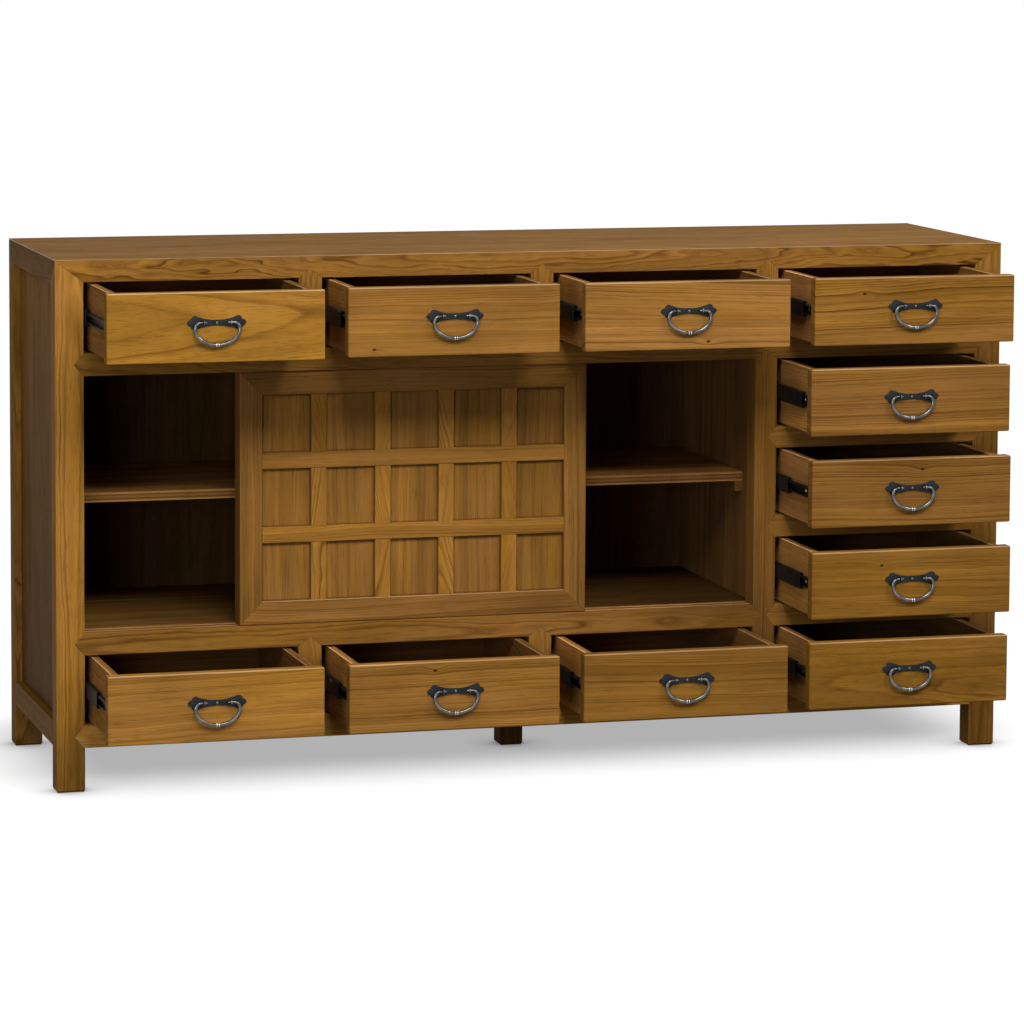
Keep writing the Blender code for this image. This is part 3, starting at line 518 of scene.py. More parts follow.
def sawn(kind="rift", **chosen):
    # where a board lies in its log: depth and height of the pith from the board's middle,
    # how far the board leans through the rings, and its own tone
    side = dice.choice((-1, 1))
    cut = {
        "offset": dice.uniform(0, 60),
        "knot": noKnot,  # from the board's middle, along and across
        "swirl": 1,
        "fade": (1, 1),  # tone at even steps along the board
        "nearSide": 1,  # tone of the face with the lower coordinate
    }
    if kind == "flat":
        cut.update(
            depth=dice.uniform(0.020, 0.055),
            height=dice.uniform(-0.02, 0.02),
            slope=side * dice.uniform(0.02, 0.06),
            lean=dice.uniform(-0.02, 0.02),
        )
    else:
        cut.update(
            depth=dice.uniform(0.02, 0.07),
            height=side * dice.uniform(0.07, 0.16),
            slope=dice.uniform(-0.012, 0.012),
            lean=dice.uniform(-0.012, 0.012),
        )
    cut.update(
        light=dice.uniform(0.92, 1.06),
        warm=dice.uniform(0.25, 0.75),
        lines=dice.uniform(0.6, 0.95),
    )
    cut.update(chosen)
    return cut


def grainOf(shape, along, face, cut):
    # writes the board's place in the log on each of its points
    grain = shape.verts.layers.float_vector.new("grain")
    tone = shape.verts.layers.float_vector.new("tone")
    knot = shape.verts.layers.float_vector.new("knot")
    width = 3 - along - face
    low = Vector([min(vertex.co[axis] for vertex in shape.verts) for axis in range(3)])
    high = Vector([max(vertex.co[axis] for vertex in shape.verts) for axis in range(3)])
    middle = (low + high) / 2
    spot = cut["knot"]
    steps = len(cut["fade"]) - 1
    for step in range(1, steps):
        cutAcross(shape, along, low[along] + (high[along] - low[along]) * step / steps)
    for vertex in shape.verts:
        place = vertex.co - middle
        share = steps * (vertex.co[along] - low[along]) / (high[along] - low[along])
        step = min(int(share), steps - 1)
        share -= step
        light = cut["light"] * (cut["fade"][step] * (1 - share) + cut["fade"][step + 1] * share)
        if place[face] < 0:
            light *= cut["nearSide"]
        vertex[grain] = (
            place[along] + cut["offset"],
            cut["depth"] + place[face] + cut["slope"] * place[along],
            place[width] - cut["height"] + cut["lean"] * place[along],
        )
        vertex[tone] = (light, cut["warm"], cut["lines"])
        vertex[knot] = (place[along] - spot[0], place[width] - spot[1], cut["swirl"])
    return shape


made = {}


def meshOf(name, shapes):
    mesh = bpy.data.meshes.new(name)
    whole = bmesh.new()
    for shape in shapes:
        part = bpy.data.meshes.new("part")
        shape.to_mesh(part)
        shape.free()
        whole.from_mesh(part)
        bpy.data.meshes.remove(part)
    whole.to_mesh(mesh)
    whole.free()
    return mesh


def place(name, mesh, material, body, nodes, where=(0, 0, 0), smooth=None):
    # puts a piece in the scene, on its body, in place of its solids
    thing = bpy.data.objects.new(name, mesh)
    if not mesh.materials:
        mesh.materials.append(material)
        if material in (oiledElm, innerElm):
            mesh.materials.append(arrisElm)
        if smooth:
            mesh.shade_smooth()
            mesh.set_sharp_from_angle(angle=math.radians(smooth))
    bpy.context.scene.collection.objects.link(thing)
    thing.location = where
    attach(thing, body)
    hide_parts(*nodes)
    made[name] = thing
    return thing


def board(name, shapes, material, body, nodes):
    # shapes are in the case's own measure, from its left front corner on the floor
    if not isinstance(shapes, (list, tuple)):
        shapes = [shapes]
    for shape in shapes:
        shift(shape, corner)
    return place(name, meshOf(name, shapes), material, body, nodes)


# the case, in metres from its left front corner
case = {
    "width": 1.676,
    "depth": 0.455,
    "height": 0.892,
    "postWidth": 0.048,
    "postDepth": 0.040,
    "legHeight": 0.074,
    "railHeight": 0.038,
    "railDepth": 0.046,
    "muntinWidth": 0.040,
    "muntinDepth": 0.040,
    "openingWidth": 0.365,
    "openingHeight": 0.118,
    "topThickness": 0.020,
    "topRound": 0.0015,
    "sideRailHeight": 0.042,
    "sideRailThickness": 0.024,
    "sidePanelFace": 0.013,
    "sidePanelInside": 0.025,
    "backRailFace": 0.431,
    "backBoardFace": 0.441,
    "backBoardRear": 0.451,
    "point": 0.0167,  # how far a shoulder's point reaches into its mate
    "joint": 0.0003,  # the dark line of a joint
    "arris": 0.0010,
    "footChamfer": 0.003,
    "grooveWidth": 0.009,
    "grooveArris": 0.0007,
    "lowerGroove": 0.005,
    "upperGroove": 0.009,
    "overrun": 0.01,  # how far a cutting shape reaches out of the wood
    "topSeams": (0.150, 0.312),  # between the three boards of the top
    "sideSeams": (0.118, 0.251),  # between the three boards of a side, from its post
    "sidePanelDrop": 0.010,  # of the panel's hidden upper end
    "backBoards": 9,
    "backShaded": 0.3,  # share of the width, at the left, where the back is darker inside
    "backShade": 0.45,
    "seamArris": 0.0012,
    "boardArris": 0.0008,
    "plyGap": 0.00015,
    "tongueFront": 0.0402,  # front of the partition, close behind the stile
    "baseLow": 0.086,
    "baseHigh": 0.098,
    "footAside": 0.009,  # from the middle of the case
    "footHalf": 0.0205,
    "footTop": 0.0858,
    "runnerPast": 0.0008,  # how far a runner stands past its muntin
    "runnerHalf": 0.025,
    "cleatHeight": 0.018,
    "leftCleat": 0.062,  # where it ends
    "rightCleat": 0.014,  # how wide it is
}
width, depth, height = case["width"], case["depth"], case["height"]
postWidth, postDepth = case["postWidth"], case["postDepth"]
rail, muntin = case["railHeight"], case["muntinWidth"]
joint = case["joint"]
mitreTop = height - case["topRound"]
mitreAcross = (rail - case["topRound"]) / postWidth
mitreAlong = (case["sideRailHeight"] - case["topRound"]) / postDepth
bayPitch = case["openingWidth"] + muntin
rowPitch = case["openingHeight"] + rail


def openingLeft(bay):
    return postWidth + bay * bayPitch


def openingBottom(row):
    return case["legHeight"] + rail + row * rowPitch


def openingMiddle(row):
    return openingBottom(row) + case["openingHeight"] / 2


stileLeft, stileRight = openingLeft(3) - muntin, openingLeft(3)
lowRailTop, highRailBottom = openingBottom(1), openingBottom(4) - rail
doorMiddles = []
for node in ("door_front", "door_rear"):
    low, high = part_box(node)
    doorMiddles.append((low.y + high.y) / 2 - corner.y)


def pointed(
    start,
    end,
    low,
    high,
    lowNotches=(),
    highNotches=(),
    half=case["muntinWidth"] / 2,
    points=True,
):
    # outline of a frame member as (along, across) pairs: pointed ends, V notches for its mates
    middle = (low + high) / 2
    reach = case["point"]
    halfTall = (high - low) / 2
    slack = joint * math.hypot(reach, halfTall) / halfTall if points else 0
    outline = [(start + slack, low)]
    for centre in lowNotches:
        outline += [(centre - half, low), (centre, low + reach), (centre + half, low)]
    outline.append((end - slack, low))
    if points:
        outline.append((end - slack + reach, middle))
    outline.append((end - slack, high))
    for centre in reversed(highNotches):
        outline += [(centre + half, high), (centre, high - reach), (centre - half, high)]
    outline.append((start + slack, high))
    if points:
        outline.append((start + slack - reach, middle))
    return outline


def carve(shape, tools):
    # takes the tools' shapes out of a shape
    helper = bpy.data.objects.new("helper", meshOf("helper", [shape]))
    bpy.context.scene.collection.objects.link(helper)
    for tool in tools:
        wedge = bpy.data.objects.new("wedge", meshOf("wedge", [tool]))
        bpy.context.scene.collection.objects.link(wedge)
        step = helper.modifiers.new("notch", "BOOLEAN")
        step.operation, step.solver, step.object = "DIFFERENCE", "EXACT", wedge
        graph = bpy.context.evaluated_depsgraph_get()
        cutMesh = bpy.data.meshes.new_from_object(helper.evaluated_get(graph))
        helper.modifiers.clear()
        helper.data = cutMesh
        bpy.data.objects.remove(wedge)
    carved = bmesh.new()
    carved.from_mesh(helper.data)
    bpy.data.objects.remove(helper)
    return carved


def frontMember(name, outline, upright, deep, cut, nodes, grooves=None):
    # grooves: height of the grooved face, then the low and high end of what is cut out
    if upright:
        outline = [(across, along) for along, across in outline]
    shape = extrude(outline, 1, 0, deep)
    roundOff(shape, lambda edge: liesOn(edge, 1, 0) and square(edge), case["arris"])
    if grooves:
        face, bottom, top = grooves
        half, past = case["grooveWidth"] / 2, case["overrun"]
        tools = [
            slab((-past, middle - half, bottom), (width + past, middle + half, top))
            for middle in doorMiddles
        ]
        shape = carve(shape, tools)
        for middle in doorMiddles:
            roundOff(
                shape,
                lambda edge: liesOn(edge, 2, face)
                and (liesOn(edge, 1, middle - half) or liesOn(edge, 1, middle + half)),
                case["grooveArris"],
                1,
                upward,
            )
    grainOf(shape, 2 if upright else 0, 1, cut)
    return board(name, shape, oiledElm, "case", nodes)


# corner posts, with both mitres at the top and notches for the rails' points
rowsOfRails = {
    "left": [case["legHeight"] + rail / 2, lowRailTop - rail / 2, highRailBottom + rail / 2],
    "right": [openingBottom(row) - rail / 2 for row in range(5)],
}
for side in ("left", "right"):
    for end in ("front", "back"):
        right, back = side == "right", end == "back"
        x0 = width - postWidth if right else 0
        y0 = depth - postDepth if back else 0
        notches = [] if back else rowsOfRails[side]
        outline = pointed(
            0,
            mitreTop,
            x0,
            x0 + postWidth,
            notches if right else (),
            () if right else notches,
            rail / 2,
            points=False,
        )
        shape = extrude([(across, along) for along, across in outline], 1, y0, y0 + postDepth)
        tip = (width if right else 0, depth if back else 0, mitreTop)
        saw(shape, tip, ((-1 if right else 1) * mitreAcross, 0, 1), joint)
        saw(shape, tip, (0, (-1 if back else 1) * mitreAlong, 1), joint)
        face = depth if back else 0
        roundOff(
            shape,
            lambda edge: (liesOn(edge, 1, face) or liesOn(edge, 0, tip[0])) and square(edge, (2,)),
            case["arris"],
        )
        roundOff(shape, lambda edge: liesOn(edge, 2, 0) and square(edge), case["footChamfer"], 1)
        cut = sawn("flat", light=1.0, lines=1.0, swirl=2)
        # painted light and shade: the left posts are made lighter, the front one darker towards its
        # foot
        if side == "left":
            cut.update({"light": 1.15} if back else {"light": 1.42, "fade": (0.85, 1.1)})
        grainOf(shape, 2, 1, cut)
        board(f"post.{end}.{side}", shape, oiledElm, "case", [f"post_{end}_{side}"])

# rails and stiles of the face frame
muntinMiddles = [openingLeft(bay) - muntin / 2 for bay in range(1, 4)]
leftEnd, rightEnd = postWidth, width - postWidth
frontMember(
    "rail.upper",
    pointed(
        leftEnd,
        rightEnd,
        highRailBottom,
        highRailBottom + rail,
        muntinMiddles[2:],
        muntinMiddles,
    ),
    False,
    case["railDepth"],
    sawn("flat", light=0.95, swirl=2.0),
    ["rail_upper_front"],
    (highRailBottom, highRailBottom - case["overrun"], highRailBottom + case["upperGroove"]),
)
frontMember(
    "rail.lower",
    pointed(leftEnd, stileLeft, lowRailTop - rail, lowRailTop, muntinMiddles[:2]),
    False,
    case["railDepth"],
    sawn("flat", light=0.95, lines=1.2, swirl=2.5),
    ["rail_lower_front"],
    (lowRailTop, lowRailTop - case["lowerGroove"], lowRailTop + case["overrun"]),
)
frontMember(
    "rail.bottom",
    pointed(leftEnd, rightEnd, case["legHeight"], case["legHeight"] + rail, (), muntinMiddles),
    False,
    case["railDepth"],
    # painted light: much lighter, for the light the floor throws up under the drawers
    sawn("flat", light=2.15, swirl=2),
    ["rail_bottom_front"],
)
for number, row in enumerate((3, 2, 1), 1):
    top = openingBottom(row)
    frontMember(
        f"rail.column.{number}",
        pointed(stileRight, rightEnd, top - rail, top),
        False,
        case["railDepth"],
        sawn("rift"),
        [f"column_rail_{number}"],
    )
frontMember(
    "stile.main",
    pointed(
        case["legHeight"] + rail,
        highRailBottom,
        stileLeft,
        stileRight,
        [lowRailTop - rail / 2],
        [openingBottom(row) - rail / 2 for row in (1, 2, 3)],
        rail / 2,
    ),
    True,
    case["muntinDepth"],
    sawn("rift", light=0.84),
    ["main_stile"],
)
for level, low, high, middles, figure in (
    ("top", openingBottom(4), height - rail, muntinMiddles, {"lines": 1.2, "swirl": 3}),
    ("bottom", openingBottom(0), lowRailTop - rail, muntinMiddles[:2], {}),
):
    for number, middle in enumerate(middles, 1):
        frontMember(
            f"muntin.{level}.{number}",
            pointed(low, high, middle - muntin / 2, middle + muntin / 2),
            True,
            case["muntinDepth"],
            sawn("flat", **figure),
            [f"divider_{level}_{number}"],
        )

# top rails, mitred into the posts, with the slope that the top board lies on
slope = (case["topThickness"] - case["topRound"]) / mitreAlong
boardLow = height - case["topThickness"]
for name, back, thick, node in (
    ("rail.top", False, case["railDepth"], "rail_top_front"),
    ("rail.back.top", True, depth - case["backRailFace"], "back_panel"),
):
    flip = -1 if back else 1
    face = depth if back else 0
    outline = [
        (face, height - rail),
        (face + flip * thick, height - rail),
        (face + flip * thick, boardLow - joint),
        (face + flip * min(slope, thick), boardLow - joint),
        (face, mitreTop - joint),
    ]
    shape = extrude(outline, 0, 0, width)
    for right in (False, True):
        tip = (width if right else 0, face, mitreTop)
        across = (-1 if right else 1) * mitreAcross
        saw(shape, tip, (-across, 0, -1))
        saw(shape, tip, (-across, flip * mitreAlong, 0))
    if not back:
        tools = []
        for middle in muntinMiddles:
            notch = [
                (middle - muntin / 2, height - rail),
                (middle, height - rail + case["point"]),
                (middle + muntin / 2, height - rail),
                (middle, height - 2 * rail),
            ]
            tools.append(extrude(notch, 1, -case["overrun"], thick + case["overrun"]))
        shape = carve(shape, tools)
    roundOff(
        shape,
        lambda edge: liesOn(edge, 1, face) and liesOn(edge, 2, height - rail) and square(edge),
        case["arris"],
    )
    # painted shade: the top rails darken towards their right ends
    cut = sawn("flat", light=0.98, lines=1.25, swirl=3.5, fade=(1.02, 1.02, 0.98, 0.86))
    grainOf(shape, 0, 1, cut)
    board(name, shape, oiledElm, "case", [node])

# top: three boards glued side by side, under one rounded arris
topCuts = [0, *case["topSeams"], depth]
strips = []
for index in range(3):
    shape = slab((0, 0, boardLow), (width, depth, height))
    roundOff(
        shape,
        lambda edge: liesOn(edge, 2, height),
        case["topRound"],
        3,
        lambda normal: normal.z < liesFlat,
    )
    for tip, flip in (((0, 0, mitreTop), 1), ((width, depth, mitreTop), -1)):
        saw(shape, tip, (-flip * mitreAcross, 0, -1))
        saw(shape, tip, (0, -flip * mitreAlong, -1))
    if index:
        saw(shape, (0, topCuts[index], 0), (0, -1, 0))
    if index < 2:
        saw(shape, (0, topCuts[index + 1], 0), (0, 1, 0))
    kind = ("rift", "flat", "rift")[index]
    cut = sawn(kind, light=0.83, warm=0.1, lines=0.7, fade=(0.95, 1.12))
    strips.append(grainOf(shape, 0, 2, cut))
board("top.board", strips, oiledElm, "case", ["top_panel"])


# sides: rails above and below a recessed panel of upright boards
def inwards(outer, flip, low, high):
    # a slab measured inwards from a side of the case
    first, last = outer + flip * low[0], outer + flip * high[0]
    return slab((min(first, last), low[1], low[2]), (max(first, last), high[1], high[2]))


sideFront, sideBack = postDepth + joint, depth - postDepth - joint
for side, outer, flip in (("left", 0, 1), ("right", width, -1)):
    node = f"side_{side}"
    thick = case["sideRailThickness"]
    low = height - case["sideRailHeight"]
    outline = [
        (outer, low),
        (outer + flip * thick, low),
        (outer + flip * thick, mitreTop - thick * mitreAcross - joint),
        (outer, mitreTop - joint),
    ]
    shape = extrude(outline, 1, 0, depth)
    for back in (False, True):
        tip = (outer, depth if back else 0, mitreTop)
        inward = -1 if back else 1
        saw(shape, tip, (0, -inward * mitreAlong, -1))
        saw(shape, tip, (flip * mitreAcross, -inward * mitreAlong, 0), joint)
    roundOff(
        shape,
        lambda edge: liesOn(edge, 0, outer) and liesOn(edge, 2, low) and square(edge),
        case["arris"],
    )
    grainOf(shape, 1, 0, sawn("flat", light=0.9))
    board(f"rail.{side}.top", shape, oiledElm, "case", [node])
    top = case["legHeight"] + case["sideRailHeight"]
    shape = inwards(outer, flip, (0, sideFront, case["legHeight"]), (thick, sideBack, top))
    roundOff(shape, lambda edge: liesOn(edge, 0, outer) and square(edge, (1,)), case["arris"])
    grainOf(shape, 1, 0, sawn("rift", light=0.9))
    board(f"rail.{side}.bottom", shape, oiledElm, "case", [node])
    panels = []
    seams = [sideFront, *(sideFront + seam for seam in case["sideSeams"]), sideBack]
    for first, last in zip(seams, seams[1:]):
        panelLow = case["legHeight"] + case["sideRailHeight"] / 2
        panelHigh = height - case["sideRailHeight"] / 2 - case["sidePanelDrop"]
        shape = inwards(
            outer,
            flip,
            (case["sidePanelFace"], first, panelLow),
            (case["sidePanelInside"], last, panelHigh),
        )
        # painted light and shade: each side board is darker towards the bottom, lighter at the top
        cut = sawn("flat", light=dice.uniform(0.80, 0.88), fade=(0.53, 0.88, 1.38))
        panels.append(grainOf(shape, 2, 0, cut))
    board(f"panel.{side}", panels, oiledElm, "case", [node])

# back: a lower rail and upright boards between the posts
shape = slab(
    (leftEnd + joint, case["backRailFace"], case["legHeight"]),
    (rightEnd - joint, depth, case["legHeight"] + rail),
)
grainOf(shape, 0, 1, sawn("rift", light=0.85))
board("rail.back.bottom", shape, oiledElm, "case", ["back_panel"])
backBoards = []
between = rightEnd - leftEnd - 2 * joint
seams = [
    leftEnd + joint + between * step / case["backBoards"] for step in range(case["backBoards"] + 1)
]
for first, last in zip(seams, seams[1:]):
    shape = slab(
        (first, case["backBoardFace"], case["legHeight"] + rail),
        (last, case["backBoardRear"], height - rail),
    )
    roundOff(
        shape,
        lambda edge: liesOn(edge, 1, case["backBoardRear"]) and square(edge, (2,)),
        case["seamArris"],
        1,
    )
    kind = dice.choice(("flat", "rift"))
    nearSide = case["backShade"] if first < width * case["backShaded"] else 1
    cut = sawn(kind, light=dice.uniform(0.8, 0.95), lines=0.5, nearSide=nearSide)
    backBoards.append(grainOf(shape, 2, 1, cut))
board("back.boards", backBoards, innerElm, "case", ["back_panel"])

# inner boards, with ears that reach past the post to the side panel
sillTop = case["legHeight"] + rail
innerFront = case["railDepth"] + joint
innerBack = case["backBoardFace"] - joint
ear = case["sidePanelInside"] + joint
# top, thickness, front edge, node, tone
inner = {
    # painted shade: the compartment floor darkens towards its right end
    "floor": (0.2695, 0.012, innerFront, "compartment_floor", {"light": 0.72, "fade": (1.1, 0.4)}),
    "ceiling": (0.723, 0.012, innerFront, "compartment_ceiling", {"light": 1.2}),
    "shelf": (0.490, 0.016, 0.090, "shelf", {"light": 1.3}),
}
plyLights = (1.8, 0.8, 1.15, 0.7, 1.7)  # pale and dark by turns
partitionLeft, partitionRight = 1.233, 1.253
for name, (top, thick, front, node, tone) in inner.items():
    outline = [
        (ear, front),
        (partitionLeft - joint, front),
        (partitionLeft - joint, innerBack),
        (leftEnd + joint, innerBack),
        (leftEnd + joint, sideBack),
        (ear, sideBack),
    ]
    cut = sawn("rift", lines=0.9, **tone)
    if name == "shelf":
        plies = []
        for ply, plyLight in enumerate(plyLights):
            low = top - thick * (ply + 1) / len(plyLights)
            high = top - thick * ply / len(plyLights) - case["plyGap"]
            cut = dict(cut, light=tone["light"] * plyLight)
            plies.append(grainOf(extrude(outline, 2, low, high), 0, 2, cut))
        board("inner.shelf", plies, innerElm, "case", [node])
        continue
    shape = extrude(outline, 2, top - thick, top)
    roundOff(shape, lambda edge: liesOn(edge, 1, front) and square(edge, (0,)), case["boardArris"])
    grainOf(shape, 0, 2, cut)
    board(f"inner.{name}", shape, innerElm, "case", [node])

# partition: between the rails it comes forward to the stile, above the rear rail it goes further
# back to the boards
baseTop, tongueFront = case["baseHigh"] + joint, case["tongueFront"]
footBack = case["backRailFace"] - joint
outline = [
    (innerFront, baseTop),
    (footBack, baseTop),
    (footBack, sillTop),
    (innerBack, sillTop),
    (innerBack, highRailBottom + rail),
    (innerFront, highRailBottom + rail),
    (innerFront, highRailBottom - joint),
    (tongueFront, highRailBottom - joint),
    (tongueFront, sillTop + joint),
    (innerFront, sillTop + joint),
]
shape = extrude(outline, 0, partitionLeft, partitionRight)
grainOf(shape, 2, 0, sawn("rift", lines=0.35, light=0.96))
board("partition", shape, innerElm, "case", ["main_stile"])
shape = slab((ear, innerFront, case["baseLow"]), (width - ear, sideBack, case["baseHigh"]))
grainOf(shape, 0, 2, sawn("rift", light=0.85))
board("base.board", shape, innerElm, "case", ["base_board"])
footX, footY, half = width / 2 + case["footAside"], depth / 2, case["footHalf"]
shape = slab((footX - half, footY - half, 0), (footX + half, footY + half, case["footTop"]))
roundOff(shape, lambda edge: liesOn(edge, 2, 0), case["footChamfer"], 1)
roundOff(shape, lambda edge: square(edge, (2,)), case["arris"])
grainOf(shape, 2, 1, sawn("rift", light=0.5))
board("foot.middle", shape, oiledElm, "case", ["base_board"])

# runners and cleats
past, reach = case["runnerPast"], muntin / 2 + case["runnerPast"]
runners = []
for level, row, middles in (("top", 4, muntinMiddles), ("bottom", 0, muntinMiddles[:2])):
    for number, middle in enumerate(middles, 1):
        node = f"divider_{level}_{number}"
        runners.append((f"runner.{level}.{number}", middle - reach, middle + reach, row, node))
runners.append(("runner.stile.left", stileLeft - past, partitionLeft - joint, 0, "main_stile"))
for row in range(4):
    name = f"runner.stile.{row}"
    runners.append((name, partitionRight + joint, stileRight + past, row, "main_stile"))
for row in (0, 4):
    runners.append((f"runner.left.{row}", ear, leftEnd + past, row, "side_left"))
for row in range(5):
    runners.append((f"runner.right.{row}", rightEnd - past, width - ear, row, "side_right"))
for name, first, last, row, node in runners:
    middle, half = openingMiddle(row), case["runnerHalf"]
    back = sideBack if node.startswith("side") else innerBack
    shape = slab((first, sideFront, middle - half), (last, back, middle + half))
    grainOf(shape, 1, 0, sawn("rift", light=0.8))
    board(name, shape, innerElm, "case", [node])
shelfTop, shelfThick, shelfFront = inner["shelf"][:3]
cleatTop = shelfTop - shelfThick - joint
for name, first, last, back, node in (
    ("cleat.left", ear, case["leftCleat"], sideBack, "side_left"),
    ("cleat.right", partitionLeft - case["rightCleat"], partitionLeft, innerBack, "main_stile"),
):
    shape = slab((first, shelfFront, cleatTop - case["cleatHeight"]), (last, back, cleatTop))
    grainOf(shape, 1, 0, sawn("rift", light=0.85))
    board(name, shape, innerElm, "case", [node])
print("case built")


# the two sliding doors
door = {
    "width": 0.6065,
    "thickness": 0.017,
    "reveal": 0.001,
    "frame": 0.039,
    "lattice": 0.027,
    "columns": 5,
    "rows": 3,
    "recess": 0.007,
    "setBack": 0.0006,  # of the lattice behind the frame
    "backRecess": 0.005,
    "arris": 0.0012,
    "fit": 0.0001,
    "lap": 0.001,  # how far the boards reach under the frame
    "tongue": 0.008,
    "tongueDrop": 0.0047,
    "tongueRise": 0.007,
    # painted light and shade: how each board darkens or lightens from one end to the other
    "boardFades": ((1.1, 0.72), (1.02, 0.95), (1.0, 1.12), (1.02, 0.95), (1.0, 0.64)),
    # painted light and shade on frame, rails and bars too, for the drawers' shadow over the door's
    # top
    "paintedFrameShading": {
        "left": (0.78, 1.02, 1.08),
        "right": (0.85, 0.92, 0.78),
        "bottom": (1.12, 0.78),
        "top": (0.74, 1.13, 0.70),
    },
    "railFades": ((1.02, 1.08, 0.95), (1.1, 1.14, 1.3)),
    "barLights": ((1.2, 1.38, 1.25, 1.2), (1.25, 1.4, 1.25, 0.95), (0.85, 1.45, 1.3, 1.35)),
    "barLeans": (0.18, -0.13, 0.22, -0.16),
    # painted shade darkens the boards in the corners of the lattice, where the bars and frame shade
    # them
    "paintedCornerShade": 0.0035,
    "paintedCornerShadeTone": 0.42,
}
bayHeight = highRailBottom - lowRailTop
wide, tall = door["width"], bayHeight - door["reveal"]
bottom, edge, bar, thick = door["reveal"], door["frame"], door["lattice"], door["thickness"]
fit, lap, setBack, paintedCornerShade = door["fit"], door["lap"], door["setBack"], door["paintedCornerShade"]
columns, rows = range(door["columns"]), range(door["rows"])
fieldWide = (wide - 2 * edge - (len(columns) - 1) * bar) / len(columns)
fieldTall = (tall - bottom - 2 * edge - (len(rows) - 1) * bar) / len(rows)
fieldLefts = [edge + index * (fieldWide + bar) for index in columns]
fieldSills = [bottom + edge + row * (fieldTall + bar) for row in rows]
# frame pieces: low and high X, low and high Z, grain axis, mitres as corner and normal
framePieces = {
    "left": (0, edge, bottom, tall, 2, ((0, bottom, 1, -1), (0, tall, 1, 1))),
    "right": (wide - edge, wide, bottom, tall, 2, ((wide, bottom, -1, -1), (wide, tall, -1, 1))),
    "bottom": (0, wide, bottom, bottom + edge, 0, ((0, bottom, -1, 1), (wide, bottom, 1, 1))),
    "top": (0, wide, tall - edge, tall, 0, ((0, tall, -1, -1), (wide, tall, 1, -1))),
}
for name in ("front", "rear"):
    node = f"door_{name}"
    low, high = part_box(node)
    base = Vector((low.x, low.y, lowRailTop)) - corner
    parts = []
    for side, (lowX, highX, lowZ, highZ, along, mitres) in framePieces.items():
        shape = slab((lowX, 0, lowZ), (highX, thick, highZ))
        for x, z, normalX, normalZ in mitres:
            saw(shape, (x, 0, z), (normalX, 0, normalZ), joint / 2)
        worn = upward if side == "bottom" else None
        roundOff(shape, lambda e: liesOn(e, 1, 0) and square(e), door["arris"], 2, worn)
        cut = sawn("rift", light=0.99, warm=0.9, lines=0.9, fade=door["paintedFrameShading"][side])
        grainOf(shape, along, 1, cut)
        parts.append((f"door.{name}.{side}", [shape]))
    # lattice rails run through, bars fit between them
    for index, sill in enumerate(fieldSills[1:]):
        shape = slab((edge + fit, setBack, sill - bar), (wide - edge - fit, door["recess"], sill))
        roundOff(shape, lambda e: liesOn(e, 1, setBack) and square(e, (0,)), door["arris"])
        grainOf(shape, 0, 1, sawn("rift", warm=0.6, lines=0.9, fade=door["railFades"][index]))
        parts.append((f"door.{name}.rail.{index}", [shape]))
    for row, sill in enumerate(fieldSills):
        for index, left in enumerate(fieldLefts[1:]):
            shape = slab(
                (left - bar, setBack, sill + fit), (left, door["recess"], sill + fieldTall - fit)
            )
            roundOff(shape, lambda e: liesOn(e, 1, setBack) and square(e, (2,)), door["arris"])
            light = dice.uniform(0.96, 1.04) * door["barLights"][row][index]
            warm = dice.uniform(0.3, 0.6)
            lean = door["barLeans"][(index + row) % len(door["barLeans"])]
            grainOf(shape, 2, 1, sawn("flat", light=light, warm=warm, lines=1.0, lean=lean))
            parts.append((f"door.{name}.bar.{row}.{index}", [shape]))
    # board behind the lattice, one upright board for each column
    boards = []
    for index, left in enumerate(fieldLefts):
        first = left - bar / 2 if index else edge - lap
        last = left + fieldWide + bar / 2 if index + 1 < len(columns) else wide - edge + lap
        shape = slab(
            (first, door["recess"] + fit, bottom + edge - lap),
            (last, thick - door["backRecess"], tall - edge + lap),
        )
        light = dice.uniform(0.84, 0.9)
        cut = sawn("rift", light=light, warm=0.7, lines=0.32, fade=door["boardFades"][index])
        spans = [(0, left, fieldWide)] + [(2, sill, fieldTall) for sill in fieldSills]
        for axis, start, span in spans:
            for far in (0, paintedCornerShade, span - paintedCornerShade, span):
                cutAcross(shape, axis, start + far)
        grainOf(shape, 2, 1, cut)
        painted = shape.verts.layers.float_vector["tone"]
        # painted shade: a narrow band round each field, in the lattice's corners, is darkened
        for vertex in shape.verts:
            x, y, z = vertex.co
            inField = min(x - left, left + fieldWide - x)
            inField = min(inField, max(min(z - sill, sill + fieldTall - z) for sill in fieldSills))
            if y < door["recess"] + 2 * fit and inField < paintedCornerShade - near / 2:
                light, warm, lines = vertex[painted]
                vertex[painted] = (light * door["paintedCornerShadeTone"], warm, lines)
        boards.append(shape)
    parts.append((f"door.{name}.board", boards))
    middle, half = thick / 2, door["tongue"] / 2
    for side, lowZ, highZ in (
        ("low", -door["tongueDrop"], bottom),
        ("high", tall, bayHeight + door["tongueRise"]),
    ):
        shape = slab((0, middle - half, lowZ), (wide, middle + half, highZ))
        grainOf(shape, 0, 1, sawn("rift", light=0.9))
        parts.append((f"door.{name}.tongue.{side}", [shape]))
    for partName, shapes in parts:
        for shape in shapes:
            shift(shape, base)
        board(partName, shapes, oiledElm, node, [node])
print("doors built")


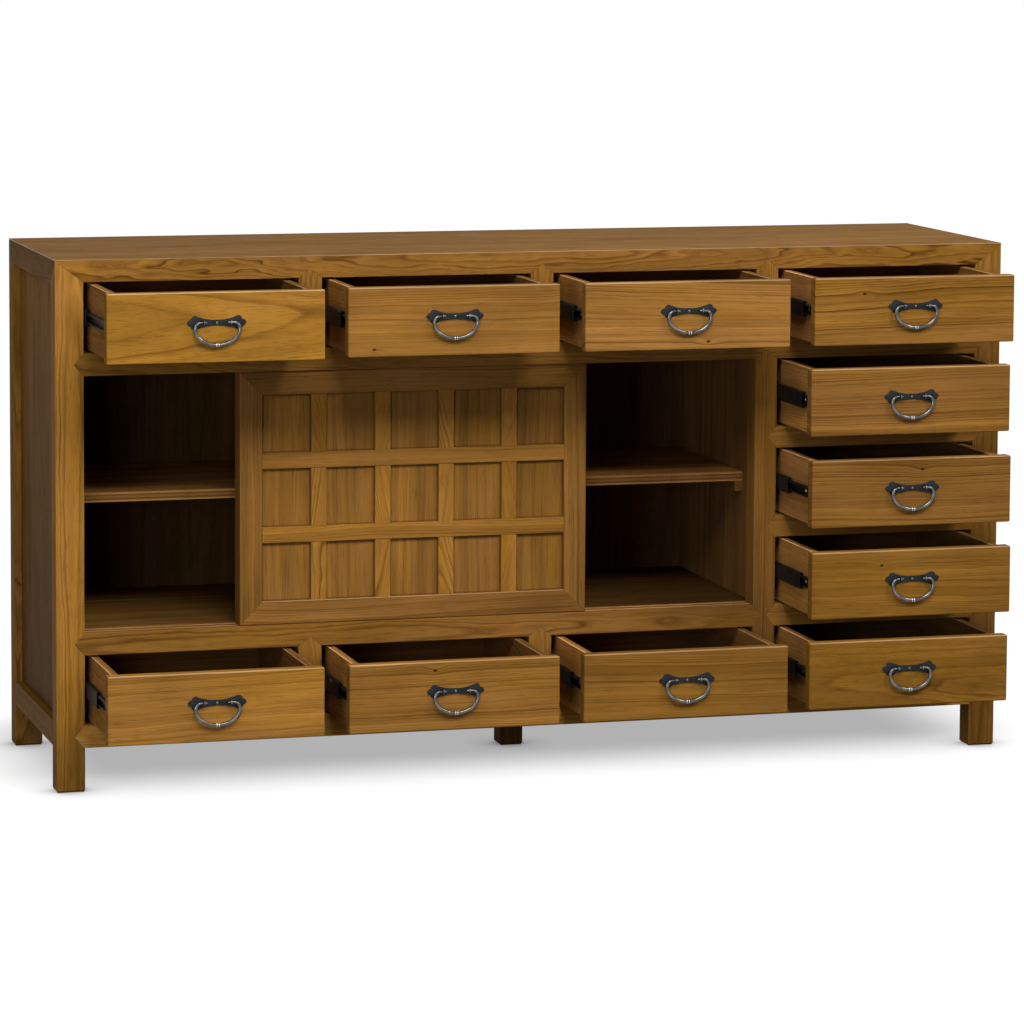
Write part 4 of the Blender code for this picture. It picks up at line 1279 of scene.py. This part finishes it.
# the drawer slides: pressed C sections, in metres from the case's front and the opening's side
slide = {
    "front": 0.023,
    "back": 0.431,
    "metal": 0.0012,
    "bend": 0.0016,
    "bendInside": 0.0018,
    "caseHeight": 0.036,
    "caseRoot": 0.0004,
    "caseDepth": 0.0090,
    "caseLip": 0.0045,
    "middleHeight": 0.0275,
    "middleRoot": 0.0022,
    "middleDepth": 0.0100,
    "middleLip": 0.0040,
    "middleBack": 0.413,
    "middleGap": 0.001,  # least space behind the drawer's front
    "barHeight": 0.018,
    "barDepth": 0.0046,
    "barLip": 0.0030,
    "barBack": 0.001,  # in front of the drawer box's back
    "ball": 0.0017,
    "ballPairs": 4,
    "ballPitch": 0.0055,
    "ballStart": 0.004,
    "ballUp": 0.0108,
    "ballDepth": 0.0062,
    "screw": 0.038,  # behind the drawer's front
    "rivet": (0.048, 0.009),  # behind the middle channel's front end, above its middle
    "rivetTall": 0.0003,
}


def pressed(name, kind, section, ends, where, body, node):
    # a C section with bent corners; section is its root, its lip and its middle height
    root, lip, middle = section
    flip = 1 if lip > root else -1
    metalThick, bend, bendInside = slide["metal"], slide["bend"], slide["bendInside"]
    half, curl = slide[kind + "Height"] / 2, slide[kind + "Lip"]
    outside = [
        (lip, half - curl),
        (lip, half - bend),
        (lip - flip * bend, half),
        (root + flip * bend, half),
        (root, half - bend),
    ]
    inside = [
        (root + flip * metalThick, half - bend),
        (root + flip * bendInside, half - metalThick),
        (lip - flip * bendInside, half - metalThick),
        (lip - flip * metalThick, half - bend),
        (lip - flip * metalThick, half - curl),
    ]
    outline = outside + [(x, -z) for x, z in reversed(outside)]
    outline += [(x, -z) for x, z in reversed(inside)] + inside
    shape = extrude([(x, z + middle) for x, z in outline], 1, *ends)
    shift(shape, where)
    board(name, shape, slideSteel, body, [node])


def skin(shape, loops, caps=True):
    # faces from each loop of points to the next
    for loop, following in zip(loops, loops[1:]):
        for step in range(len(loop)):
            after = (step + 1) % len(loop)
            shape.faces.new((loop[step], loop[after], following[after], following[step]))
    if caps:
        shape.faces.new(loops[0])
        shape.faces.new(loops[-1])
    bmesh.ops.recalc_face_normals(shape, faces=shape.faces[:])
    return shape


def circle(steps):
    # angles at even steps round a circle
    return [2 * math.pi * step / steps for step in range(steps)]


screwHead = {
    "radius": 0.0036,
    "tall": 0.0014,
    "sides": 14,
    # shares of the radius and of the height, from the rim to the crown
    "shares": ((1, 0), (1, 0.35), (0.82, 0.8), (0.45, 1)),
}


def screwShape(centre, flip, tall=screwHead["tall"]):
    # a pan head on a vertical face, facing along x
    shape = bmesh.new()
    loops = []
    for radiusShare, tallShare in screwHead["shares"]:
        radius = screwHead["radius"] * radiusShare
        loops.append(
            [
                shape.verts.new(
                    (
                        centre[0] + flip * tall * tallShare,
                        centre[1] + radius * math.cos(angle),
                        centre[2] + radius * math.sin(angle),
                    )
                )
                for angle in circle(screwHead["sides"])
            ]
        )
    return skin(shape, loops)


# the drawers, in metres from the middle of a front's face
drawer = {
    "front": (0.362, 0.020, 0.115),
    "arris": 0.0020,
    "corner": 0.0025,
    "backArris": 0.0006,
    "boxWide": 0.3396,
    "boxDeep": 0.400,
    "boxArris": 0.0010,
    "wall": 0.012,
    "boxTop": 0.0555,
    "backDrop": 0.0005,  # of the box's back below its sides
    "floorLow": -0.0475,
    "floorHigh": -0.0415,
    "gap": 0.0002,
    "fit": 0.0001,
}
# bay, row, and the share of its opening by which the middle channels stand out
drawers = {
    "top_left": (0, 4, 0.03),
    "top_middle": (1, 4, 0.67),
    "top_right": (2, 4, 0.60),
    "column_1": (3, 4, 0.65),
    "column_2": (3, 3, 0.69),
    "column_3": (3, 2, 0.29),
    "column_4": (3, 1, 0.64),
    "column_5": (3, 0, 0.55),
    "bottom_left": (0, 0, 0.47),
    "bottom_middle": (1, 0, 0.55),
    "bottom_right": (2, 0, 0.55),
}
# how each front is sawn; its light is partly its own tone and partly painted light and shade
fronts = {
    "top_left": sawn(
        "flat", depth=0.0763, height=0.013, slope=0.055, lean=0, light=1.16, warm=0, lines=0.8
    ),
    "top_middle": sawn(light=0.98, warm=0.7, lines=0.9, knot=(-0.137, -0.0450)),
    "top_right": sawn(light=1.08, warm=0.85, lines=1.15, lean=0.03, knot=(0.035, -0.0445)),
    "column_1": sawn(light=0.96, warm=0.5, lines=1.25, swirl=1.5, knot=(-0.092, 0.030)),
    "column_2": sawn(light=0.93, warm=0.8, lines=1.15),
    "column_3": sawn(light=0.88, warm=0.85, lines=1.2, knot=(0.0186, 0.039)),
    "column_4": sawn(light=0.88, warm=0.3, lines=0.8, swirl=1.6, knot=(-0.055, 0.032)),
    "column_5": sawn(
        "flat",
        depth=0.058,
        height=-0.022,
        slope=-0.055,
        lean=0.04,
        light=0.88,
        warm=0.15,
        lines=0.7,
        swirl=2,
    ),
    "bottom_left": sawn(light=1.32, warm=0.5, lines=0.75, lean=-0.008),
    "bottom_middle": sawn(light=1.12, warm=0.6, lines=1.2, knot=(-0.035, 0.043)),
    "bottom_right": sawn(light=0.94, warm=0.7, lines=0.9),
}
# nodes that carry the fixed channels, from left to right
topCarriers = ("side_left", "divider_top_1", "divider_top_2", "divider_top_3", "side_right")
bottomCarriers = ("side_left", "divider_bottom_1", "divider_bottom_2", "main_stile", "side_right")
halfWide, thick, halfTall = drawer["front"][0] / 2, drawer["front"][1], drawer["front"][2] / 2
halfBox, halfOpening = drawer["boxWide"] / 2, case["openingWidth"] / 2
wall, deep, boxTop = drawer["wall"], drawer["boxDeep"], drawer["boxTop"]
boxFront, inside = thick + drawer["gap"], halfBox - wall - drawer["fit"]
backTop = boxTop - drawer["backDrop"]
for name, (bay, row, reach) in drawers.items():
    node = "drawer_" + name
    low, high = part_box(node)
    base = Vector(((low.x + high.x) / 2, low.y, (low.z + high.z) / 2)) - corner
    parts = []
    shape = slab((-halfWide, 0, -halfTall), (halfWide, thick, halfTall))
    roundOff(shape, lambda e: square(e, (1,)), drawer["corner"], 3)
    roundOff(shape, lambda e: liesOn(e, 1, 0), drawer["arris"], 3, upward)
    roundOff(
        shape,
        lambda e: liesOn(e, 1, thick) and liesOn(e, 2, halfTall),
        drawer["backArris"],
        1,
        upward,
    )
    parts.append(("front", grainOf(shape, 0, 1, fronts[name]), oiledElm))
    for side, flip in (("left", -1), ("right", 1)):
        first, last = sorted((flip * halfBox, flip * (halfBox - wall)))
        shape = slab((first, boxFront, -boxTop), (last, deep, boxTop))
        roundOff(
            shape,
            lambda e: liesOn(e, 2, boxTop) and square(e, (1,)),
            drawer["boxArris"],
            2,
            upward,
        )
        # painted light: the sides are made lighter, the left side's outer face much more so
        cut = sawn("flat", light=1.25, lines=0.7, swirl=1.6, nearSide=1.95 if flip < 0 else 1)
        parts.append((f"side.{side}", grainOf(shape, 1, 0, cut), innerElm))
    shape = slab((-inside, deep - wall, -boxTop), (inside, deep - drawer["gap"], backTop))
    roundOff(shape, lambda e: liesOn(e, 2, backTop) and square(e, (0,)), drawer["boxArris"])
    parts.append(("back", grainOf(shape, 0, 1, sawn("rift", light=0.96)), innerElm))
    shape = slab(
        (-inside, boxFront, drawer["floorLow"]),
        (inside, deep - wall - drawer["fit"], drawer["floorHigh"]),
    )
    parts.append(("floor", grainOf(shape, 0, 2, sawn("rift", light=0.95)), innerElm))
    for partName, shape, material in parts:
        shift(shape, base)
        board(f"drawer.{name}.{partName}", shape, material, node, [node])

    # slides: case channel on the case; middle channel, bar, balls and screws on the drawer
    opening = openingLeft(bay) + halfOpening
    middleFront = max(-base.y * (1 - reach), thick + slide["middleGap"])
    for side, flip in (("left", -1), ("right", 1)):
        outer, wallFace = flip * halfOpening, flip * halfBox
        pressed(
            f"slide.{name}.{side}.case",
            "case",
            (outer - flip * slide["caseRoot"], outer - flip * slide["caseDepth"], base.z),
            (slide["front"], slide["back"]),
            (opening, 0, 0),
            "case",
            (topCarriers if row == 4 else bottomCarriers)[bay + (flip > 0)],
        )
        pressed(
            f"slide.{name}.{side}.middle",
            "middle",
            (outer - flip * slide["middleRoot"], outer - flip * slide["middleDepth"], 0),
            (middleFront, slide["middleBack"]),
            base,
            node,
            node,
        )
        pressed(
            f"slide.{name}.{side}.bar",
            "bar",
            (wallFace, outer - flip * slide["barDepth"], 0),
            (boxFront, deep - slide["barBack"]),
            base,
            node,
            node,
        )
        # ball cage at the middle channel's front end
        cage = []
        for step in range(slide["ballPairs"]):
            for up in (-1, 1):
                ball = bmesh.new()
                bmesh.ops.create_icosphere(ball, subdivisions=2, radius=slide["ball"])
                along = middleFront + slide["ballStart"] + step * slide["ballPitch"]
                away = outer - flip * slide["ballDepth"]
                shift(ball, base + Vector((away, along, up * slide["ballUp"])))
                cage.append(ball)
        board(f"slide.{name}.{side}.balls", cage, blackIron, node, [node])
        screw = base + Vector((wallFace + flip * slide["metal"], thick + slide["screw"], 0))
        screws = [screwShape(screw, flip)]
        if name == "bottom_middle" and flip < 0:
            behind, above = slide["rivet"]
            face = outer - flip * slide["middleRoot"]
            rivet = base + Vector((face, middleFront + behind, above))
            screws.append(screwShape(rivet, flip, slide["rivetTall"]))
        board(f"slide.{name}.{side}.screws", screws, brightSteel, node, [node])
print("drawers built")


# the handles, in metres from the middle of a bail's hinge line
handle = {
    "hingeUp": 0.0085,  # above the middle of the front
    "standOff": 0.0072,
    "plateWide": 0.098,
    "plateTall": 0.022,
    "plateThick": 0.002,
    "plateGap": 0.0003,
    "plateArris": 0.0007,
    "eyeApart": 0.0448,
    "eyeHole": 0.0020,
    "eyeWire": 0.0012,
    "stemBack": 0.0040,
    "stemLong": 0.0030,
    "stemRadii": (0.0024, 0.0019),
    "stud": 0.0026,
    "studFlat": 0.62,  # its height as a share of its radius
    "studDrop": 0.001,
    "pin": 0.0016,
    "pinReach": 0.005,  # to both sides of an eye
    "pinEnd": 0.001,
    "pinEndShare": 0.7,
    "rod": 0.0030,
    "flat": 0.9,  # the rod's depth as a share of its width
    "bailWide": 0.080,
    "bailDrop": 0.040,
    "shoulder": 0.0105,
    "collar": 0.0034,
    "collarWide": 0.0009,
    "collarApart": 0.0038,
}
# steps along or round each curve of a handle
facets = {
    "plate": 5,
    "eye": 20,
    "wire": 10,
    "stem": 14,
    "stud": 16,
    "studRings": 10,
    "rod": 16,
    "shoulder": 10,
    "swelling": 8,
    "bow": 20,
    "collar": 20,
}
# right half of the plate's outline: share of half the width, share of the height, crisp corner
plateEdge = (
    (0.00, 0.18, False),
    (0.22, 0.19, False),
    (0.46, 0.28, False),
    (0.70, 0.47, False),
    (0.77, 0.48, True),
    (0.84, 0.36, False),
    (0.86, 0.22, True),
    (0.94, 0.15, False),
    (1.00, 0.00, True),
    (0.96, -0.18, False),
    (0.88, -0.28, True),
    (0.84, -0.46, False),
    (0.70, -0.52, True),
    (0.52, -0.38, False),
    (0.30, -0.28, False),
    (0.00, -0.22, False),
)


def smoothed(points, steps):
    # curves through the points, broken at the crisp ones
    line = []
    for index in range(len(points) - 1):
        here, there = points[index], points[index + 1]
        before = here if here[2] or not index else points[index - 1]
        after = there if there[2] or index + 2 == len(points) else points[index + 2]
        for step in range(steps):
            t = step / steps
            spot = []
            for a, b, c, d in list(zip(before, here, there, after))[:2]:
                straight, curved, bent = c - a, 2 * a - 5 * b + 4 * c - d, 3 * b - a - 3 * c + d
                spot.append((2 * b + straight * t + curved * t**2 + bent * t**3) / 2)
            line.append(spot)
    line.append(points[-1][:2])
    return line


def tube(path, radii):
    # a slightly flattened rod through points in the plane y = 0
    shape = bmesh.new()
    loops = []
    for index, point in enumerate(path):
        along = (path[min(index + 1, len(path) - 1)] - path[max(index - 1, 0)]).normalized()
        aside = Vector((-along.z, 0, along.x))
        loop = []
        for angle in circle(facets["rod"]):
            out = math.cos(angle) * aside + math.sin(angle) * Vector((0, handle["flat"], 0))
            loop.append(shape.verts.new(point + radii[index] * out))
        loops.append(loop)
    return skin(shape, loops)


def plateMesh():
    halfWide, tall = handle["plateWide"] / 2, handle["plateTall"]
    outline = [(x * halfWide, z * tall) for x, z in smoothed(plateEdge, facets["plate"])]
    outline += [(-x, z) for x, z in reversed(outline[1:-1])]
    back = handle["standOff"] - handle["plateGap"]
    face = back - handle["plateThick"]
    shape = extrude(outline, 1, back, face)
    roundOff(shape, lambda e: liesOn(e, 1, face), handle["plateArris"], 3)
    return meshOf("batPlate", [shape])


def eyesMesh():
    shapes = []
    wire = handle["eyeWire"]
    for side in (-1, 1):
        ring = bmesh.new()
        x = side * handle["eyeApart"] / 2
        loops = []
        for turn in circle(facets["eye"]):
            loop = []
            for angle in circle(facets["wire"]):
                out = handle["eyeHole"] + wire + wire * math.cos(angle)
                spot = (x + wire * math.sin(angle), out * math.cos(turn), out * math.sin(turn))
                loop.append(ring.verts.new(spot))
            loops.append(loop)
        shapes.append(skin(ring, loops + loops[:1], caps=False))
        stem = bmesh.new()
        root, tip = handle["stemRadii"]
        bmesh.ops.create_cone(
            stem,
            cap_ends=True,
            segments=facets["stem"],
            radius1=root,
            radius2=tip,
            depth=handle["stemLong"],
        )
        bmesh.ops.rotate(stem, verts=stem.verts[:], matrix=Matrix.Rotation(math.pi / 2, 3, "X"))
        shift(stem, (x, handle["stemBack"], 0))
        shapes.append(stem)
    return meshOf("eyes", shapes)


def studMesh():
    shape = bmesh.new()
    bmesh.ops.create_uvsphere(
        shape,
        u_segments=facets["stud"],
        v_segments=facets["studRings"],
        radius=handle["stud"],
    )
    for vertex in shape.verts:
        vertex.co.y *= handle["studFlat"]
    face = handle["standOff"] - handle["plateGap"] - handle["plateThick"]
    shift(shape, (0, face, -handle["studDrop"]))
    return meshOf("stud", [shape])


def bailMesh():
    # half of the rod: pin, rounded shoulder, bow down to the middle; then its mirror image
    pin, rod, drop = handle["pin"], handle["rod"], handle["shoulder"]
    start = handle["eyeApart"] / 2 - handle["pinReach"]
    shoulderStart = handle["eyeApart"] / 2 + handle["pinReach"]
    halfWide = handle["bailWide"] / 2 - rod
    bow = handle["bailDrop"] - rod - drop
    path = [(start, 0), (start + handle["pinEnd"], 0), (shoulderStart, 0)]
    radii = [pin * handle["pinEndShare"], pin, pin]
    for step in range(1, facets["shoulder"] + 1):
        angle = step / facets["shoulder"] * math.pi / 2
        x = shoulderStart + (halfWide - shoulderStart) * math.sin(angle)
        path.append((x, drop * (math.cos(angle) - 1)))
        radii.append(pin + (rod - pin) * min(1, step / facets["swelling"]))
    for step in range(1, facets["bow"] + 1):
        angle = step / facets["bow"] * math.pi / 2
        x = halfWide * math.cos(angle) if step < facets["bow"] else 0
        path.append((x, -drop - bow * math.sin(angle)))
        radii.append(rod)
    path += [(-x, z) for x, z in reversed(path[:-1])]
    radii += reversed(radii[:-1])
    return meshOf("bail", [tube([Vector((x, 0, z)) for x, z in path], radii)])


def collarMesh():
    # two narrow collars at the middle of the bow
    shapes = []
    for side in (-1, 1):
        collar = bmesh.new()
        bmesh.ops.create_cone(
            collar,
            cap_ends=True,
            segments=facets["collar"],
            radius1=handle["collar"],
            radius2=handle["collar"],
            depth=handle["collarWide"],
        )
        bmesh.ops.rotate(collar, verts=collar.verts[:], matrix=Matrix.Rotation(math.pi / 2, 3, "Y"))
        for vertex in collar.verts:
            vertex.co.y *= handle["rod"] * handle["flat"] / handle["collar"]
        shift(collar, (side * handle["collarApart"] / 2, 0, handle["rod"] - handle["bailDrop"]))
        shapes.append(collar)
    return meshOf("collars", shapes)


plate, eyes, stud, bail, collars = plateMesh(), eyesMesh(), studMesh(), bailMesh(), collarMesh()
for name in drawers:
    low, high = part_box("handle_bail_" + name)
    drawerLow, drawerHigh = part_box("drawer_" + name)
    hinge = Vector(
        (
            (low.x + high.x) / 2,
            drawerLow.y - handle["standOff"],
            (drawerLow.z + drawerHigh.z) / 2 + handle["hingeUp"],
        )
    )
    # piece, mesh, material, body, node, and the angle up to which it is smooth
    for piece, mesh, material, body, node, smooth in (
        ("plate", plate, blackIron, "drawer_", "handle_plate_", 30),
        ("eyes", eyes, rubbedIron, "drawer_", "handle_plate_", 40),
        ("stud", stud, rubbedIron, "drawer_", "handle_plate_", 60),
        ("bail", bail, rubbedIron, "bail_", "handle_bail_", 60),
        ("collars", collars, brightSteel, "bail_", "handle_bail_", 60),
    ):
        place(f"handle.{name}.{piece}", mesh, material, body + name, [node + name], hinge, smooth)
print("handles built:", len(made), "pieces")


# floor, light and camera
stage = {
    "floor": "#8c8c8c",
    "floorHalf": 30,
    "floorDrop": 0.0002,  # below the feet
    "shade": 0.44,  # how light the floor stays under the cabinet
    # the shaded part of the floor: its middle, half its size, and how wide it fades to white
    "shadeMiddle": (0, 0.12, 0),
    "shadeHalf": (0.70, 0.15, 1),
    "shadeFade": 0.31,
    "contact": 0.07,  # reach of the painted contact shadow close to the feet
    "contactRange": (0.45, 0.95, 0.45, 1),
    # size across and up, place, aim, watts, and whether the floor is left out or lit alone
    "lamps": {
        "key": (1.6, 1.2, (-0.3, -2.8, 3.0), (0, 0, 0.4), 70, "EXCLUDE"),
        "right": (1.2, 1.2, (2.4, -2.4, 2.8), (0, 0, 0.4), 48, "EXCLUDE"),
        "left": (1.2, 1.2, (-2.6, -2.2, 2.6), (0, 0, 0.4), 12, "EXCLUDE"),
        "fill": (1.0, 1.0, (-2.2, -3.6, 0.8), (0, 0, 0.4), 29, "EXCLUDE"),
        "behind": (1.5, 0.7, (0.0, 3.2, 0.45), (0, 0, 0.45), 40, "EXCLUDE"),
        "overhead": (5.0, 5.0, (0, 0, 3.0), (0, 0, 0), 70, "INCLUDE"),
    },
    "tints": {"fill": "#e0e6ff"},  # daylight in the shade
    "world": 0.03,
}


def seenRays(tree):
    # 1 for the rays that show a surface: straight, mirrored or through glass
    rays = addNode(tree, "ShaderNodeLightPath")
    seen = rays.outputs["Is Camera Ray"]
    for kind in ("Is Glossy Ray", "Is Transmission Ray"):
        seen = addNode(
            tree,
            "ShaderNodeMath",
            {"operation": "ADD", "use_clamp": True},
            {0: seen, 1: rays.outputs[kind]},
        ).outputs[0]
    return seen


floorShape = bmesh.new()
bmesh.ops.create_grid(floorShape, x_segments=1, y_segments=1, size=stage["floorHalf"])
floor = bpy.data.objects.new("floor", meshOf("floor", [floorShape]))
floorPaint = bpy.data.materials.new("studio floor")
floorPaint.use_nodes = True
tree = floorPaint.node_tree
shader = tree.nodes["Principled BSDF"]
shader.inputs["Roughness"].default_value = 0.9
shader.inputs["Specular IOR Level"].default_value = 0
shader.inputs["Emission Color"].default_value = (1, 1, 1, 1)
shader.inputs["Base Color"].default_value = linear(stage["floor"])
# the floor's glow paints a shadow: dimmer over the cabinet's footprint and darker by the feet
away = addNode(tree, "ShaderNodeTexCoord").outputs["Object"]
for operation, other in (
    ("SUBTRACT", stage["shadeMiddle"]),
    ("ABSOLUTE", (0, 0, 0)),
    ("SUBTRACT", stage["shadeHalf"]),
    ("MAXIMUM", (0, 0, 0)),
):
    away = addNode(
        tree, "ShaderNodeVectorMath", {"operation": operation}, {0: away, 1: other}
    ).outputs[0]
away = addNode(tree, "ShaderNodeVectorMath", {"operation": "LENGTH"}, {0: away}).outputs["Value"]
white = addNode(
    tree,
    "ShaderNodeMapRange",
    {"interpolation_type": "SMOOTHSTEP"},
    {0: away, 1: 0, 2: stage["shadeFade"], 3: stage["shade"], 4: 1},
).outputs[0]
contact = addNode(
    tree, "ShaderNodeAmbientOcclusion", {"samples": 8}, {"Distance": stage["contact"]}
).outputs["AO"]
contact = addNode(
    tree, "ShaderNodeMapRange", {}, {0: contact, **dict(enumerate(stage["contactRange"], 1))}
).outputs[0]
white = addNode(
    tree, "ShaderNodeMath", {"operation": "MULTIPLY"}, {0: white, 1: contact}
).outputs[0]
glow = addNode(
    tree, "ShaderNodeMath", {"operation": "MULTIPLY"}, {0: seenRays(tree), 1: white}
).outputs[0]
tree.links.new(glow, shader.inputs["Emission Strength"])
floor.data.materials.append(floorPaint)
bpy.context.scene.collection.objects.link(floor)
floor.location.z = -stage["floorDrop"]

for name, (wide, tall, spot, aim, watts, linked) in stage["lamps"].items():
    lamp = bpy.data.lights.new(name, "AREA")
    lamp.shape = "RECTANGLE"
    lamp.size, lamp.size_y = wide, tall
    lamp.energy = watts
    lamp.color = linear(stage["tints"].get(name, "#ffffff"))[:3]
    thing = bpy.data.objects.new(name, lamp)
    thing.location = spot
    thing.rotation_euler = (Vector(aim) - Vector(spot)).to_track_quat("-Z", "Y").to_euler()
    bpy.context.scene.collection.objects.link(thing)
    lit = bpy.data.collections.new(name + " floor")
    lit.objects.link(floor)
    thing.light_linking.receiver_collection = lit
    lit.collection_objects[0].light_linking.link_state = linked

world = bpy.data.worlds.new("studio")
bpy.context.scene.world = world
world.use_nodes = True
tree = world.node_tree
background = tree.nodes["Background"]
strength = addNode(
    tree, "ShaderNodeMapRange", {}, {0: seenRays(tree), 1: 0, 2: 1, 3: stage["world"], 4: 1}
).outputs[0]
tree.links.new(strength, background.inputs["Strength"])
background.inputs["Color"].default_value = (1, 1, 1, 1)

# camera at the photograph's place, level with a slight downward look and a rising front
photo = {
    "place": (-2.0892, -7.3054, 1.5111),
    "turn": 16.045,  # degrees towards +X
    "tilt": -5.536,
    "roll": 0.323,
    "lens": 153.17,
    "shiftY": -0.2,
    "sensor": 36,
}
turn, tilt, roll = (math.radians(photo[part]) for part in ("turn", "tilt", "roll"))
ahead = Vector((math.sin(turn) * math.cos(tilt), math.cos(turn) * math.cos(tilt), math.sin(tilt)))
level = Vector((math.cos(turn), -math.sin(turn), 0))
upright = level.cross(ahead)
sideways = level * math.cos(roll) + upright * math.sin(roll)
upwards = -level * math.sin(roll) + upright * math.cos(roll)
camera = bpy.data.objects.new("camera", bpy.data.cameras.new("camera"))
turned = Matrix((sideways, upwards, -ahead)).transposed().to_4x4()
camera.matrix_world = Matrix.Translation(photo["place"]) @ turned
camera.data.sensor_width = photo["sensor"]
camera.data.lens = photo["lens"]
camera.data.shift_y = photo["shiftY"]
bpy.context.scene.collection.objects.link(camera)
bpy.context.scene.camera = camera
bpy.context.scene.view_settings.view_transform = "Standard"

print("scene ready")
